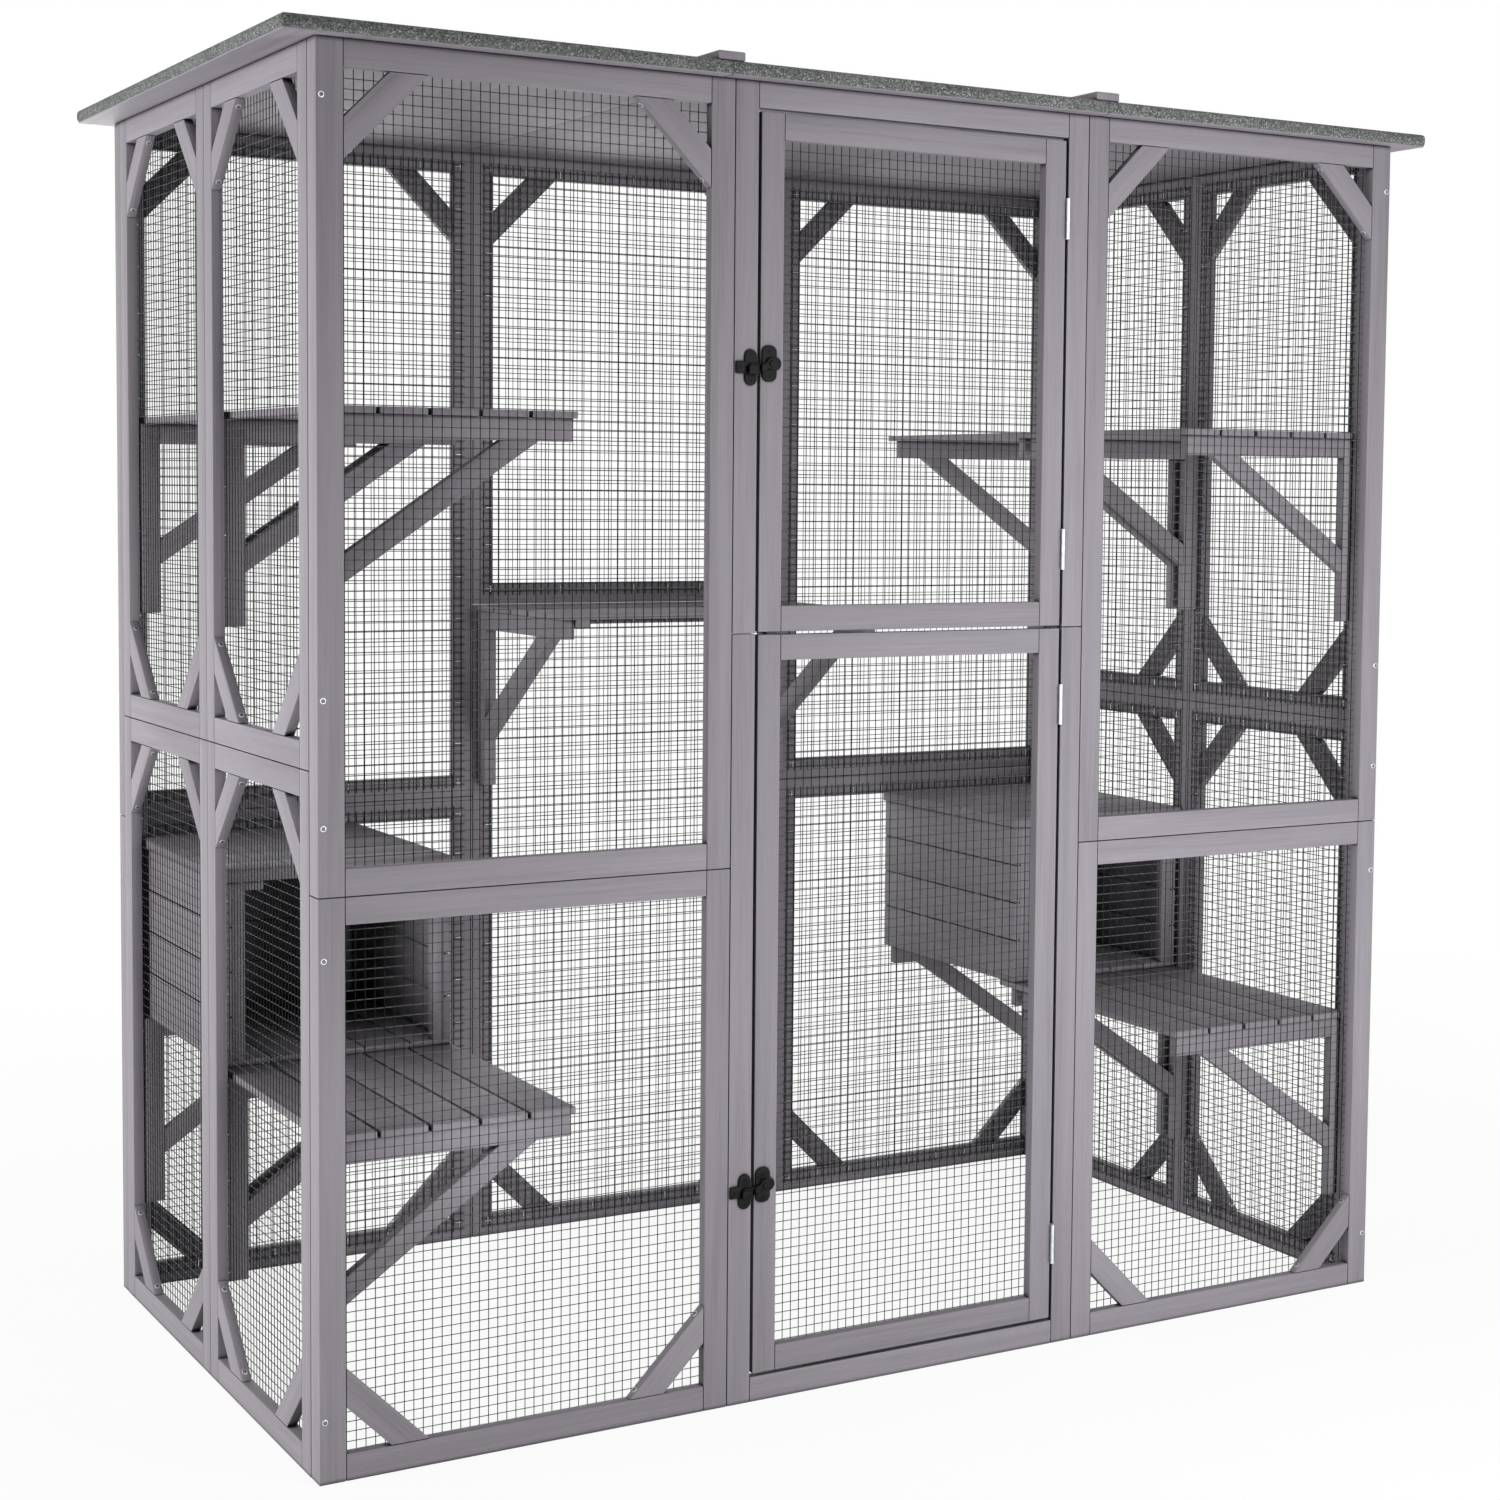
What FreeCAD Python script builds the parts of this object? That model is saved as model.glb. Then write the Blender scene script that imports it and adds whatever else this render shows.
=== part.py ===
import FreeCAD, Part
import math
import os

os.makedirs("parts", exist_ok=True)

# Walk-in cat enclosure. Millimetres, +X to the right, +Y to the back, +Z up.
# The origin is on the floor, under the middle of the enclosure.
Vector = FreeCAD.Vector

# Walls
WALL_WIDTH = 1710.0
WALL_DEPTH = 920.0
WALL_HEIGHT = 1780.0
BAY_COUNT = 3
SIDE_PANEL_COUNT = 2
BAY_SPLIT = 736.0
DOORWAY_SPLIT = 1050.0
SIDE_SPLIT = 890.0

# Timber of the panels and doors
MEMBER_WIDTH = 35.0
MEMBER_THICKNESS = 16.0
POST_DEPTH = 32.0
BRACE_THICKNESS = 14.0
BRACE_OUTER_LEG = 60.0
BRACE_INNER_LEG = 110.0

# Welded mesh behind each panel: two layers of wires, with one flat strand for every eight wires
WIRE_LAYER = 0.9
WIRE_SPACING = 101.6
STRAND_WIDTH = 5.6
MESH_LAP = 20.0

# Doors
DOOR_GAP = 4.0
DOOR_MEETING_GAP = 3.0

# Butt hinges
HINGE_HEIGHT = 58.0
HINGE_END_DISTANCE = 110.0
HINGE_LEAF_CLEARANCE = 1.0
HINGE_LEAF_MARGIN = 2.0
HINGE_RADIUS = 2.5
HINGE_PROUD = 0.2
HINGE_PIN_RADIUS = 1.2
HINGE_PIN_CLEARANCE = 0.05
HINGE_KNUCKLE_GAP = 0.3

# Flip latches
UPPER_LATCH_RISE = 358.0
LOWER_LATCH_RISE = 261.0
LATCH_PLATE_THICKNESS = 3.0
LATCH_CLEARANCE = 0.3
LATCH_EDGE_MARGIN = 2.0
LATCH_PIVOT_INSET = 15.0
LATCH_LOBE_RADIUS = 9.0
LATCH_LOBE_SPREAD = 15.0
LATCH_SIDE_LOBE_REACH = 7.0
LATCH_HUB_RADIUS = 8.0
LEVER_THICKNESS = 4.0
LEVER_WIDTH = 10.0
LEVER_NOSE_PAST_GAP = 14.0
LEVER_TAB_HEIGHT = 5.0
LEVER_TAB_WIDTH = 6.0
RIVET_RADIUS = 2.5
RIVET_RUNNING_CLEARANCE = 0.05
RIVET_HEAD_RADIUS = 4.5
RIVET_HEAD_HEIGHT = 1.6
KEEPER_LIP_THICKNESS = 2.5
KEEPER_FLOOR_HEIGHT = 4.0
KEEPER_LIP_COVER = 8.0
KEEPER_END_ROOM = 3.0
KEEPER_GAP_MARGIN = 2.0
KEEPER_DROP = 6.0
KEEPER_TAB_HEIGHT = 16.0

# Roof
ROOF_SIDE_OVERHANG = 50.0
ROOF_END_OVERHANG = 25.0
ROOF_PANEL_COUNT = 3
ROOF_BOARD_THICKNESS = 16.0
ROOF_SEAM_GAP = 1.0
FELT_THICKNESS = 3.0
BATTEN_WIDTH = 40.0
BATTEN_HEIGHT = 12.0
BATTEN_END_SETBACK = 4.0

# Shelf brackets and slats
BRACKET_WIDTH = 30.0
BRACKET_THICKNESS = 16.0
BRACKET_ARM_LENGTH = 337.0
BRACKET_LEG_LENGTH = 284.0
DIAGONAL_DROP = 180.0
DIAGONAL_REACH = 260.0
SLAT_COUNT = 5
SLAT_THICKNESS = 9.0
SLAT_GAP = 5.0
SLAT_WALL_GAP = 7.0
SLAT_OVERHANG = 6.0
SLAT_END_GAP = 1.0
FRONT_BRACKET_SETBACK = 4.0
MIDDLE_BRACKET_OFFSET = 8.0
UPPER_SHELF_TOP = 1340.0
BACK_SHELF_TOP = 1050.0
PLATFORM_TOP = 430.0
BACK_BRACKET_THICKNESS = 20.0
BACK_SHELF_PAST_BRACKET = 2.5
CLEAT_WIDTH = 24.0
CLEAT_HEIGHT = 12.0

# Plank houses on the platforms
HOUSE_FRONT = 10.0
HOUSE_INSET = 2.0
HOUSE_BACK_GAP = 1.0
HOUSE_FLOOR_THICKNESS = 9.0
HOUSE_FLOOR_LAP = 40.0
HOUSE_WALL_HEIGHT = 251.0
HOUSE_PLANK_COUNT = 4
HOUSE_PLANK_THICKNESS = 10.0
HOUSE_PLANK_GAP = 1.0
HOUSE_JAMB_WIDTH = 18.0
HOUSE_JAMB_DEPTH = 16.0
HOUSE_BLOCK_WIDTH = 27.0
HOUSE_BLOCK_HEIGHT = 13.0
HOUSE_ROOF_THICKNESS = 16.0
HOUSE_ROOF_BOARD_COUNT = 5
HOUSE_ROOF_OVERHANG = 5.0

# Faces and edges that several pieces share
LEFT = -WALL_WIDTH / 2
RIGHT = WALL_WIDTH / 2
FRONT = -WALL_DEPTH / 2
BACK = WALL_DEPTH / 2
BAY_WIDTH = WALL_WIDTH / BAY_COUNT
SIDE_PANEL_WIDTH = (WALL_DEPTH - 2 * POST_DEPTH) / SIDE_PANEL_COUNT
LINING = MEMBER_THICKNESS + 2 * WIRE_LAYER
DOORWAY_LEFT = -BAY_WIDTH / 2 + MEMBER_WIDTH
DOORWAY_RIGHT = BAY_WIDTH / 2 - MEMBER_WIDTH
DOOR_LEFT = DOORWAY_LEFT + DOOR_GAP
DOOR_RIGHT = DOORWAY_RIGHT - DOOR_GAP
LOWER_DOOR_BOTTOM = MEMBER_WIDTH + DOOR_GAP
LOWER_DOOR_TOP = DOORWAY_SPLIT - DOOR_MEETING_GAP / 2
UPPER_DOOR_BOTTOM = DOORWAY_SPLIT + DOOR_MEETING_GAP / 2
UPPER_DOOR_TOP = WALL_HEIGHT - MEMBER_WIDTH - DOOR_GAP
SLAT_FRONT = FRONT + POST_DEPTH + SLAT_END_GAP
SLAT_BACK = BACK - POST_DEPTH - SLAT_END_GAP
PLATFORM_BACK = HOUSE_FRONT + HOUSE_FLOOR_LAP
ROOF_WIDTH = WALL_WIDTH + 2 * ROOF_SIDE_OVERHANG
ROOF_DEPTH = WALL_DEPTH + 2 * ROOF_END_OVERHANG
ROOF_PITCH = ROOF_WIDTH / ROOF_PANEL_COUNT


def box(x0, x1, y0, y1, z0, z1):
    """A straight-edged piece between two corners."""
    return Part.makeBox(x1 - x0, y1 - y0, z1 - z0, Vector(x0, y0, z0))


def rod(radius, start, axis, length):
    """A round piece from its start along an axis."""
    return Part.makeCylinder(radius, length, start, axis)


def upright_prism(outline, y0, y1):
    """An outline of (x, z) points, given depth from y0 to y1."""
    points = [Vector(x, y0, z) for x, z in outline]
    return Part.Face(Part.makePolygon(points + points[:1])).extrude(Vector(0, y1 - y0, 0))


def fused(first, *others):
    """Several overlapping shapes made one solid, with leftover seams removed."""
    return first.multiFuse(list(others)).removeSplitter()


def placed(solids, x, y, z, turn=0):
    """Solids turned about +Z by whole degrees and then moved."""
    placement = FreeCAD.Placement(Vector(x, y, z), FreeCAD.Rotation(Vector(0, 0, 1), turn))
    return [solid.transformed(placement.toMatrix()) for solid in solids]


def mirrored(solids):
    """The same solids on the other side of the middle of the enclosure."""
    return [solid.mirror(Vector(0, 0, 0), Vector(1, 0, 0)) for solid in solids]


def on_front(solids, x, z):
    """Pieces drawn with their outer face at y = 0, put on the front wall with their left end at x."""
    return placed(solids, x, FRONT, z)


def on_back(solids, x, z):
    """The same for the back wall, with the end that has the larger X at x."""
    return placed(solids, x, BACK, z, 180)


def on_right(solids, y, z):
    """The same for the right wall, with the front end at y."""
    return placed(solids, RIGHT, y, z, 90)


def on_left(solids, y, z):
    """The same for the left wall, with the back end at y."""
    return placed(solids, LEFT, y, z, -90)


def brace(width, height, at_right, at_top):
    """A flat brace across one inner corner of a panel, with mitred ends."""
    outline = []
    for along, up in ((0, BRACE_OUTER_LEG), (0, BRACE_INNER_LEG), (BRACE_INNER_LEG, 0), (BRACE_OUTER_LEG, 0)):
        x = MEMBER_WIDTH + along
        z = MEMBER_WIDTH + up
        outline.append((width - x if at_right else x, height - z if at_top else z))
    return upright_prism(outline, 0, BRACE_THICKNESS)


def panel(width, height, left_depth=MEMBER_THICKNESS, right_depth=MEMBER_THICKNESS, rails="both",
          braces="none"):
    """Stiles, rails between them and corner braces of one wall panel or door."""
    right = width - MEMBER_WIDTH
    members = [
        box(0, MEMBER_WIDTH, 0, left_depth, 0, height),
        box(right, width, 0, right_depth, 0, height),
    ]
    if rails in ("both", "bottom"):
        members.append(box(MEMBER_WIDTH, right, 0, MEMBER_THICKNESS, 0, MEMBER_WIDTH))
    if rails in ("both", "top"):
        members.append(box(MEMBER_WIDTH, right, 0, MEMBER_THICKNESS, height - MEMBER_WIDTH, height))
    for at_top, names in ((True, ("top", "all")), (False, ("bottom", "all"))):
        if braces in names:
            members += [brace(width, height, at_right, at_top) for at_right in (False, True)]
    return members


def strand_starts(length):
    """Where each strand across a sheet of this length starts, evenly spaced from edge to edge."""
    spaces = max(1, round(length / WIRE_SPACING))
    step = (length - STRAND_WIDTH) / spaces
    return [index * step for index in range(spaces + 1)]


def mesh_sheet(width, height):
    """One flat sheet of welded mesh: upright strands, and level strands on their inner faces."""
    strands = []
    for x in strand_starts(width):
        strands.append(box(x, x + STRAND_WIDTH, 0, WIRE_LAYER, 0, height))
    for z in strand_starts(height):
        strands.append(box(0, width, WIRE_LAYER, 2 * WIRE_LAYER, z, z + STRAND_WIDTH))
    return strands


def panel_mesh(width, height, left_lap=MESH_LAP, right_lap=MESH_LAP):
    """The mesh sheet of a panel, lapped on to the inner faces of its stiles and rails."""
    edge = MEMBER_WIDTH - MESH_LAP
    left = MEMBER_WIDTH - left_lap
    sheet_width = width - 2 * MEMBER_WIDTH + left_lap + right_lap
    return placed(mesh_sheet(sheet_width, height - 2 * edge), left, MEMBER_THICKNESS, edge)


def split_heights(split):
    """Name, base and height of the lower and the upper panel of a wall split at a height."""
    return (("lower", 0, split, "bottom"), ("upper", split, WALL_HEIGHT - split, "top"))


def front_wall():
    """Four panels beside the doorway, the two halves of the doorway frame, and their mesh."""
    nodes = {"front_mesh": []}
    for side, x in (("left", LEFT), ("right", RIGHT - BAY_WIDTH)):
        post = {side + "_depth": POST_DEPTH}
        lap = {side + "_lap": 0}
        for level, base, height, braces in split_heights(BAY_SPLIT):
            members = panel(BAY_WIDTH, height, braces=braces, **post)
            nodes["front_%s_%s_panel" % (side, level)] = on_front(members, x, base)
            nodes["front_mesh"] += on_front(panel_mesh(BAY_WIDTH, height, **lap), x, base)
    for level, base, height, rail in split_heights(DOORWAY_SPLIT):
        members = panel(BAY_WIDTH, height, rails=rail)
        nodes["doorway_%s_frame" % level] = on_front(members, -BAY_WIDTH / 2, base)
    return nodes


def back_wall():
    """Three bays of two panels with their mesh. Seen from behind, the right bay is on the left."""
    nodes = {"back_mesh": []}
    bays = (("left", LEFT + BAY_WIDTH, BAY_SPLIT, "right"), ("middle", BAY_WIDTH / 2, DOORWAY_SPLIT, None),
            ("right", RIGHT, BAY_SPLIT, "left"))
    for bay, x, split, post_end in bays:
        post = {post_end + "_depth": POST_DEPTH} if post_end else {}
        lap = {post_end + "_lap": 0} if post_end else {}
        for level, base, height, braces in split_heights(split):
            members = panel(BAY_WIDTH, height, braces=braces, **post)
            nodes["back_%s_%s_panel" % (bay, level)] = on_back(members, x, base)
            nodes["back_mesh"] += on_back(panel_mesh(BAY_WIDTH, height, **lap), x, base)
    return nodes


def side_walls():
    """Two by two braced panels and their mesh between the posts of each side wall."""
    nodes = {"left_mesh": [], "right_mesh": []}
    for index, place in enumerate(("front", "back")):
        near = FRONT + POST_DEPTH + index * SIDE_PANEL_WIDTH
        far = near + SIDE_PANEL_WIDTH
        for level, base, height, _ in split_heights(SIDE_SPLIT):
            members = panel(SIDE_PANEL_WIDTH, height, braces="all")
            sheet = panel_mesh(SIDE_PANEL_WIDTH, height)
            nodes["left_%s_%s_panel" % (place, level)] = on_left(members, far, base)
            nodes["right_%s_%s_panel" % (place, level)] = on_right(members, near, base)
            nodes["left_mesh"] += on_left(sheet, far, base)
            nodes["right_mesh"] += on_right(sheet, near, base)
    return nodes


def doors():
    """Two framed mesh doors, one above the other in the doorway."""
    nodes = {}
    width = DOOR_RIGHT - DOOR_LEFT
    for level, bottom, top in door_levels():
        nodes[level + "_door_frame"] = on_front(panel(width, top - bottom), DOOR_LEFT, bottom)
        nodes[level + "_door_mesh"] = on_front(panel_mesh(width, top - bottom), DOOR_LEFT, bottom)
    return nodes


def door_levels():
    """Name, bottom and top of each door."""
    return (("lower", LOWER_DOOR_BOTTOM, LOWER_DOOR_TOP), ("upper", UPPER_DOOR_BOTTOM, UPPER_DOOR_TOP))


def hinge():
    """Frame leaf, door leaf and pin of a butt hinge with its axis upright at the origin."""
    half_gap = DOOR_GAP / 2
    leaf = (DOOR_GAP - HINGE_LEAF_CLEARANCE) / 2
    face = HINGE_RADIUS + HINGE_PROUD
    rear = face + MEMBER_THICKNESS - HINGE_LEAF_MARGIN
    third = HINGE_HEIGHT / 3
    up = Vector(0, 0, 1)

    def knuckle(bottom, top, x0, x1):
        bottom += HINGE_KNUCKLE_GAP / 2
        top -= HINGE_KNUCKLE_GAP / 2
        barrel = rod(HINGE_RADIUS, Vector(0, 0, bottom), up, top - bottom)
        return barrel, box(x0, x1, 0, face + HINGE_PROUD, bottom, top)

    def bored(*shapes):
        bore = rod(HINGE_PIN_RADIUS + HINGE_PIN_CLEARANCE, Vector(0, 0, 0), up, HINGE_HEIGHT)
        return fused(*shapes).cut(bore)

    door_plate = box(-half_gap, -half_gap + leaf, face + HINGE_PROUD, rear, 0, HINGE_HEIGHT)
    frame_plate = box(half_gap - leaf, half_gap, face + HINGE_PROUD, rear, 0, HINGE_HEIGHT)
    door_leaf = bored(door_plate, *knuckle(third, 2 * third, -half_gap, -half_gap + leaf))
    frame_leaf = bored(frame_plate, *knuckle(0, third, half_gap - leaf, half_gap),
                       *knuckle(2 * third, HINGE_HEIGHT, half_gap - leaf, half_gap))
    pin = rod(HINGE_PIN_RADIUS, Vector(0, 0, 0), up, HINGE_HEIGHT)
    return frame_leaf, door_leaf, pin


def hinges():
    """Two hinges on the right edge of each door, with the axis just proud of the front faces."""
    nodes = {}
    axis_x = (DOOR_RIGHT + DOORWAY_RIGHT) / 2
    axis_y = FRONT - HINGE_RADIUS - HINGE_PROUD
    pieces = hinge()
    for level, bottom, top in door_levels():
        names = [level + suffix for suffix in ("_hinge_frame_leaves", "_hinge_door_leaves", "_hinge_pins")]
        for name, piece in zip(names, pieces):
            nodes[name] = []
            for middle in (bottom + HINGE_END_DISTANCE, top - HINGE_END_DISTANCE):
                nodes[name] += placed([piece], axis_x, axis_y, middle - HINGE_HEIGHT / 2)
    return nodes


def latch():
    """Keeper, door plate and lever of a flip latch, about the pivot, with the wood's face at y = 0."""
    out = Vector(0, -1, 0)
    door_edge = -LATCH_PIVOT_INSET
    frame_edge = door_edge - DOOR_GAP
    frame_far = frame_edge - MEMBER_WIDTH + LATCH_EDGE_MARGIN
    nose_end = frame_edge - LEVER_NOSE_PAST_GAP
    lever_back = -LATCH_PLATE_THICKNESS - LATCH_CLEARANCE
    lever_front = lever_back - LEVER_THICKNESS
    lip_back = lever_front - LATCH_CLEARANCE
    half_lever = LEVER_WIDTH / 2
    nose_top = half_lever - KEEPER_DROP
    nose_bottom = -half_lever - KEEPER_DROP
    floor_top = nose_bottom - LATCH_CLEARANCE
    floor_bottom = floor_top - KEEPER_FLOOR_HEIGHT

    def disc(radius, x, z, y, thickness):
        return rod(radius, Vector(x, y, z), out, thickness)

    # The door plate has three lobes round the pivot, and the rivet that holds the lever.
    plate_lobes = []
    for x, z in ((0, LATCH_LOBE_SPREAD), (0, -LATCH_LOBE_SPREAD), (LATCH_SIDE_LOBE_REACH, 0)):
        plate_lobes.append(disc(LATCH_LOBE_RADIUS, x, z, 0, LATCH_PLATE_THICKNESS))
    plate_left = door_edge + LATCH_EDGE_MARGIN
    plate_body = box(plate_left, LATCH_LOBE_RADIUS, -LATCH_PLATE_THICKNESS, 0,
                     -LATCH_LOBE_SPREAD, LATCH_LOBE_SPREAD)
    shank_length = LATCH_PLATE_THICKNESS + LEVER_THICKNESS + 2 * LATCH_CLEARANCE
    rivet = disc(RIVET_RADIUS, 0, 0, 0, shank_length)
    rivet_head = disc(RIVET_HEAD_RADIUS, 0, 0, -shank_length, RIVET_HEAD_HEIGHT)
    plate = fused(plate_body, *plate_lobes, rivet, rivet_head)

    # The lever is a round hub and a cranked bar, with a finger tab over the gap.
    hub = disc(LATCH_HUB_RADIUS, 0, 0, lever_back, LEVER_THICKNESS)
    bar = upright_prism([(0, half_lever), (0, -half_lever), (door_edge, nose_bottom), (nose_end, nose_bottom),
                         (nose_end, nose_top), (door_edge, nose_top)], lever_front, lever_back)
    tab_right = door_edge + LEVER_TAB_WIDTH / 2
    tab = box(tab_right - LEVER_TAB_WIDTH, tab_right, lever_front - LEVER_TAB_HEIGHT, lever_front,
              nose_bottom, nose_top)
    bore = disc(RIVET_RADIUS + RIVET_RUNNING_CLEARANCE, 0, 0, lever_back, LEVER_THICKNESS)
    lever = fused(hub, bar, tab).cut(bore)

    # The keeper has three lobes, and a cradle that is open at the top for the lever's nose.
    cradle_left = nose_end - KEEPER_END_ROOM
    cradle_right = frame_edge - KEEPER_GAP_MARGIN
    lobe_x = cradle_right - LATCH_LOBE_RADIUS
    keeper_lobes = []
    lobe_top = LATCH_LOBE_SPREAD - KEEPER_DROP
    lobe_bottom = -LATCH_LOBE_SPREAD - KEEPER_DROP
    for z in (lobe_top, lobe_bottom):
        keeper_lobes.append(disc(LATCH_LOBE_RADIUS, lobe_x, z, 0, LATCH_PLATE_THICKNESS))
    keeper_body = box(lobe_x - LATCH_LOBE_RADIUS, cradle_right, -LATCH_PLATE_THICKNESS, 0,
                      lobe_bottom, lobe_top)
    side_tab = box(frame_far, lobe_x, -LATCH_PLATE_THICKNESS, 0, -KEEPER_TAB_HEIGHT / 2 - KEEPER_DROP,
                   KEEPER_TAB_HEIGHT / 2 - KEEPER_DROP)
    floor = box(cradle_left, cradle_right, lip_back, 0, floor_bottom, floor_top)
    lip = box(cradle_left, cradle_right, lip_back - KEEPER_LIP_THICKNESS, lip_back,
              floor_bottom, floor_top + KEEPER_LIP_COVER)
    keeper = fused(keeper_body, *keeper_lobes, side_tab, floor, lip)
    return keeper, plate, lever


def latches():
    """One latch on the left stile of each door."""
    nodes = {}
    keeper, plate, lever = latch()
    rises = {"upper": UPPER_LATCH_RISE, "lower": LOWER_LATCH_RISE}
    pivot_x = DOOR_LEFT + LATCH_PIVOT_INSET
    for level, bottom, _ in door_levels():
        for name, piece in (("keeper", keeper), ("plate", plate), ("lever", lever)):
            height = bottom + rises[level]
            nodes["%s_latch_%s" % (level, name)] = placed([piece], pivot_x, FRONT, height)
    return nodes


def roof():
    """Three boarded panels, each under a felt sheet folded over the outer edges, and seam battens."""
    nodes = {"roof_felt": [], "roof_battens": []}
    top = WALL_HEIGHT + ROOF_BOARD_THICKNESS
    front = -ROOF_DEPTH / 2
    back = ROOF_DEPTH / 2
    for index, name in enumerate(("left", "middle", "right")):
        left = -ROOF_WIDTH / 2 + index * ROOF_PITCH
        right = left + ROOF_PITCH
        board_left = left + (FELT_THICKNESS if name == "left" else ROOF_SEAM_GAP / 2)
        board_right = right - (FELT_THICKNESS if name == "right" else ROOF_SEAM_GAP / 2)
        felt_left = left if name == "left" else board_left
        felt_right = right if name == "right" else board_right
        felt = box(felt_left, felt_right, front, back, WALL_HEIGHT, top + FELT_THICKNESS)
        board = box(board_left, board_right, front + FELT_THICKNESS, back - FELT_THICKNESS, WALL_HEIGHT, top)
        nodes["roof_%s_panel" % name] = [board]
        nodes["roof_felt"].append(felt.cut(board))
    for seam in range(1, ROOF_PANEL_COUNT):
        middle = -ROOF_WIDTH / 2 + seam * ROOF_PITCH
        nodes["roof_battens"].append(
            box(middle - BATTEN_WIDTH / 2, middle + BATTEN_WIDTH / 2, front + BATTEN_END_SETBACK,
                back - BATTEN_END_SETBACK, top + FELT_THICKNESS, top + FELT_THICKNESS + BATTEN_HEIGHT))
    return nodes


def bracket(thickness=BRACKET_THICKNESS):
    """Leg, arm and diagonal of a shelf bracket. The wall is at x = 0 and the slats lie at z = 0."""
    arm_bottom = -BRACKET_WIDTH
    length = math.hypot(DIAGONAL_REACH, DIAGONAL_DROP)
    on_leg = BRACKET_WIDTH * length / DIAGONAL_REACH
    on_arm = BRACKET_WIDTH * length / DIAGONAL_DROP
    low = arm_bottom - DIAGONAL_DROP
    reach = BRACKET_WIDTH + DIAGONAL_REACH
    diagonal = [(BRACKET_WIDTH, low), (reach, arm_bottom), (reach - on_arm, arm_bottom),
                (BRACKET_WIDTH, low + on_leg)]
    return [
        box(0, BRACKET_WIDTH, 0, thickness, -BRACKET_LEG_LENGTH, 0),
        box(BRACKET_WIDTH, BRACKET_ARM_LENGTH, 0, thickness, arm_bottom, 0),
        upright_prism(diagonal, 0, thickness),
    ]


def slat_span():
    """Where the first slat starts and the last one ends, measured from the wall's lining."""
    return SLAT_WALL_GAP, BRACKET_ARM_LENGTH + SLAT_OVERHANG


def slats(length):
    """Slats side by side away from the wall, running along y from 0."""
    start, end = slat_span()
    width = (end - start - (SLAT_COUNT - 1) * SLAT_GAP) / SLAT_COUNT
    boards = []
    for index in range(SLAT_COUNT):
        x = start + index * (width + SLAT_GAP)
        boards.append(box(x, x + width, 0, length, 0, SLAT_THICKNESS))
    return boards


def side_shelves():
    """A shelf and a shorter, lower platform along each side wall, on four brackets each."""
    nodes = {}
    wall = LEFT + LINING
    front = SLAT_FRONT + FRONT_BRACKET_SETBACK
    middles = (-MIDDLE_BRACKET_OFFSET - BRACKET_THICKNESS, MIDDLE_BRACKET_OFFSET)
    back = BACK - POST_DEPTH - MEMBER_WIDTH
    # The platform's back bracket reaches up to the house floor, past where the slats end.
    shelves = (("upper_%s_shelf", UPPER_SHELF_TOP, SLAT_BACK, 0),
               ("lower_%s_platform", PLATFORM_TOP, PLATFORM_BACK, SLAT_THICKNESS))
    for name, top, slat_end, back_rise in shelves:
        base = top - SLAT_THICKNESS
        boards = placed(slats(slat_end - SLAT_FRONT), wall, SLAT_FRONT, base)
        brackets = placed(bracket(), wall, back, base + back_rise)
        for y in (front, *middles):
            brackets += placed(bracket(), wall, y, base)
        nodes[name % "left"] = boards
        nodes[name % "left" + "_brackets"] = brackets
        nodes[name % "right"] = mirrored(boards)
        nodes[name % "right" + "_brackets"] = mirrored(brackets)
    return nodes


def back_shelf():
    """A shelf across the middle bay of the back wall, with a cleat beside the bracket at each end."""
    wall = BACK - LINING
    base = BACK_SHELF_TOP - SLAT_THICKNESS
    stile_middle = (BAY_WIDTH - MEMBER_WIDTH) / 2
    bracket_inner = stile_middle - BACK_BRACKET_THICKNESS / 2
    bracket_outer = stile_middle + BACK_BRACKET_THICKNESS / 2
    half = bracket_outer + BACK_SHELF_PAST_BRACKET
    start, end = slat_span()
    first = half - bracket_inner
    cleat = box(start, end, first, first + CLEAT_WIDTH, -CLEAT_HEIGHT, 0)
    boards = placed(slats(2 * half), -half, wall, base, -90)
    cleats = placed([cleat], -half, wall, base, -90)
    left = placed(bracket(BACK_BRACKET_THICKNESS), -bracket_outer, wall, base, -90)
    return {"back_shelf": boards + cleats + mirrored(cleats), "back_shelf_brackets": left + mirrored(left)}


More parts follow.
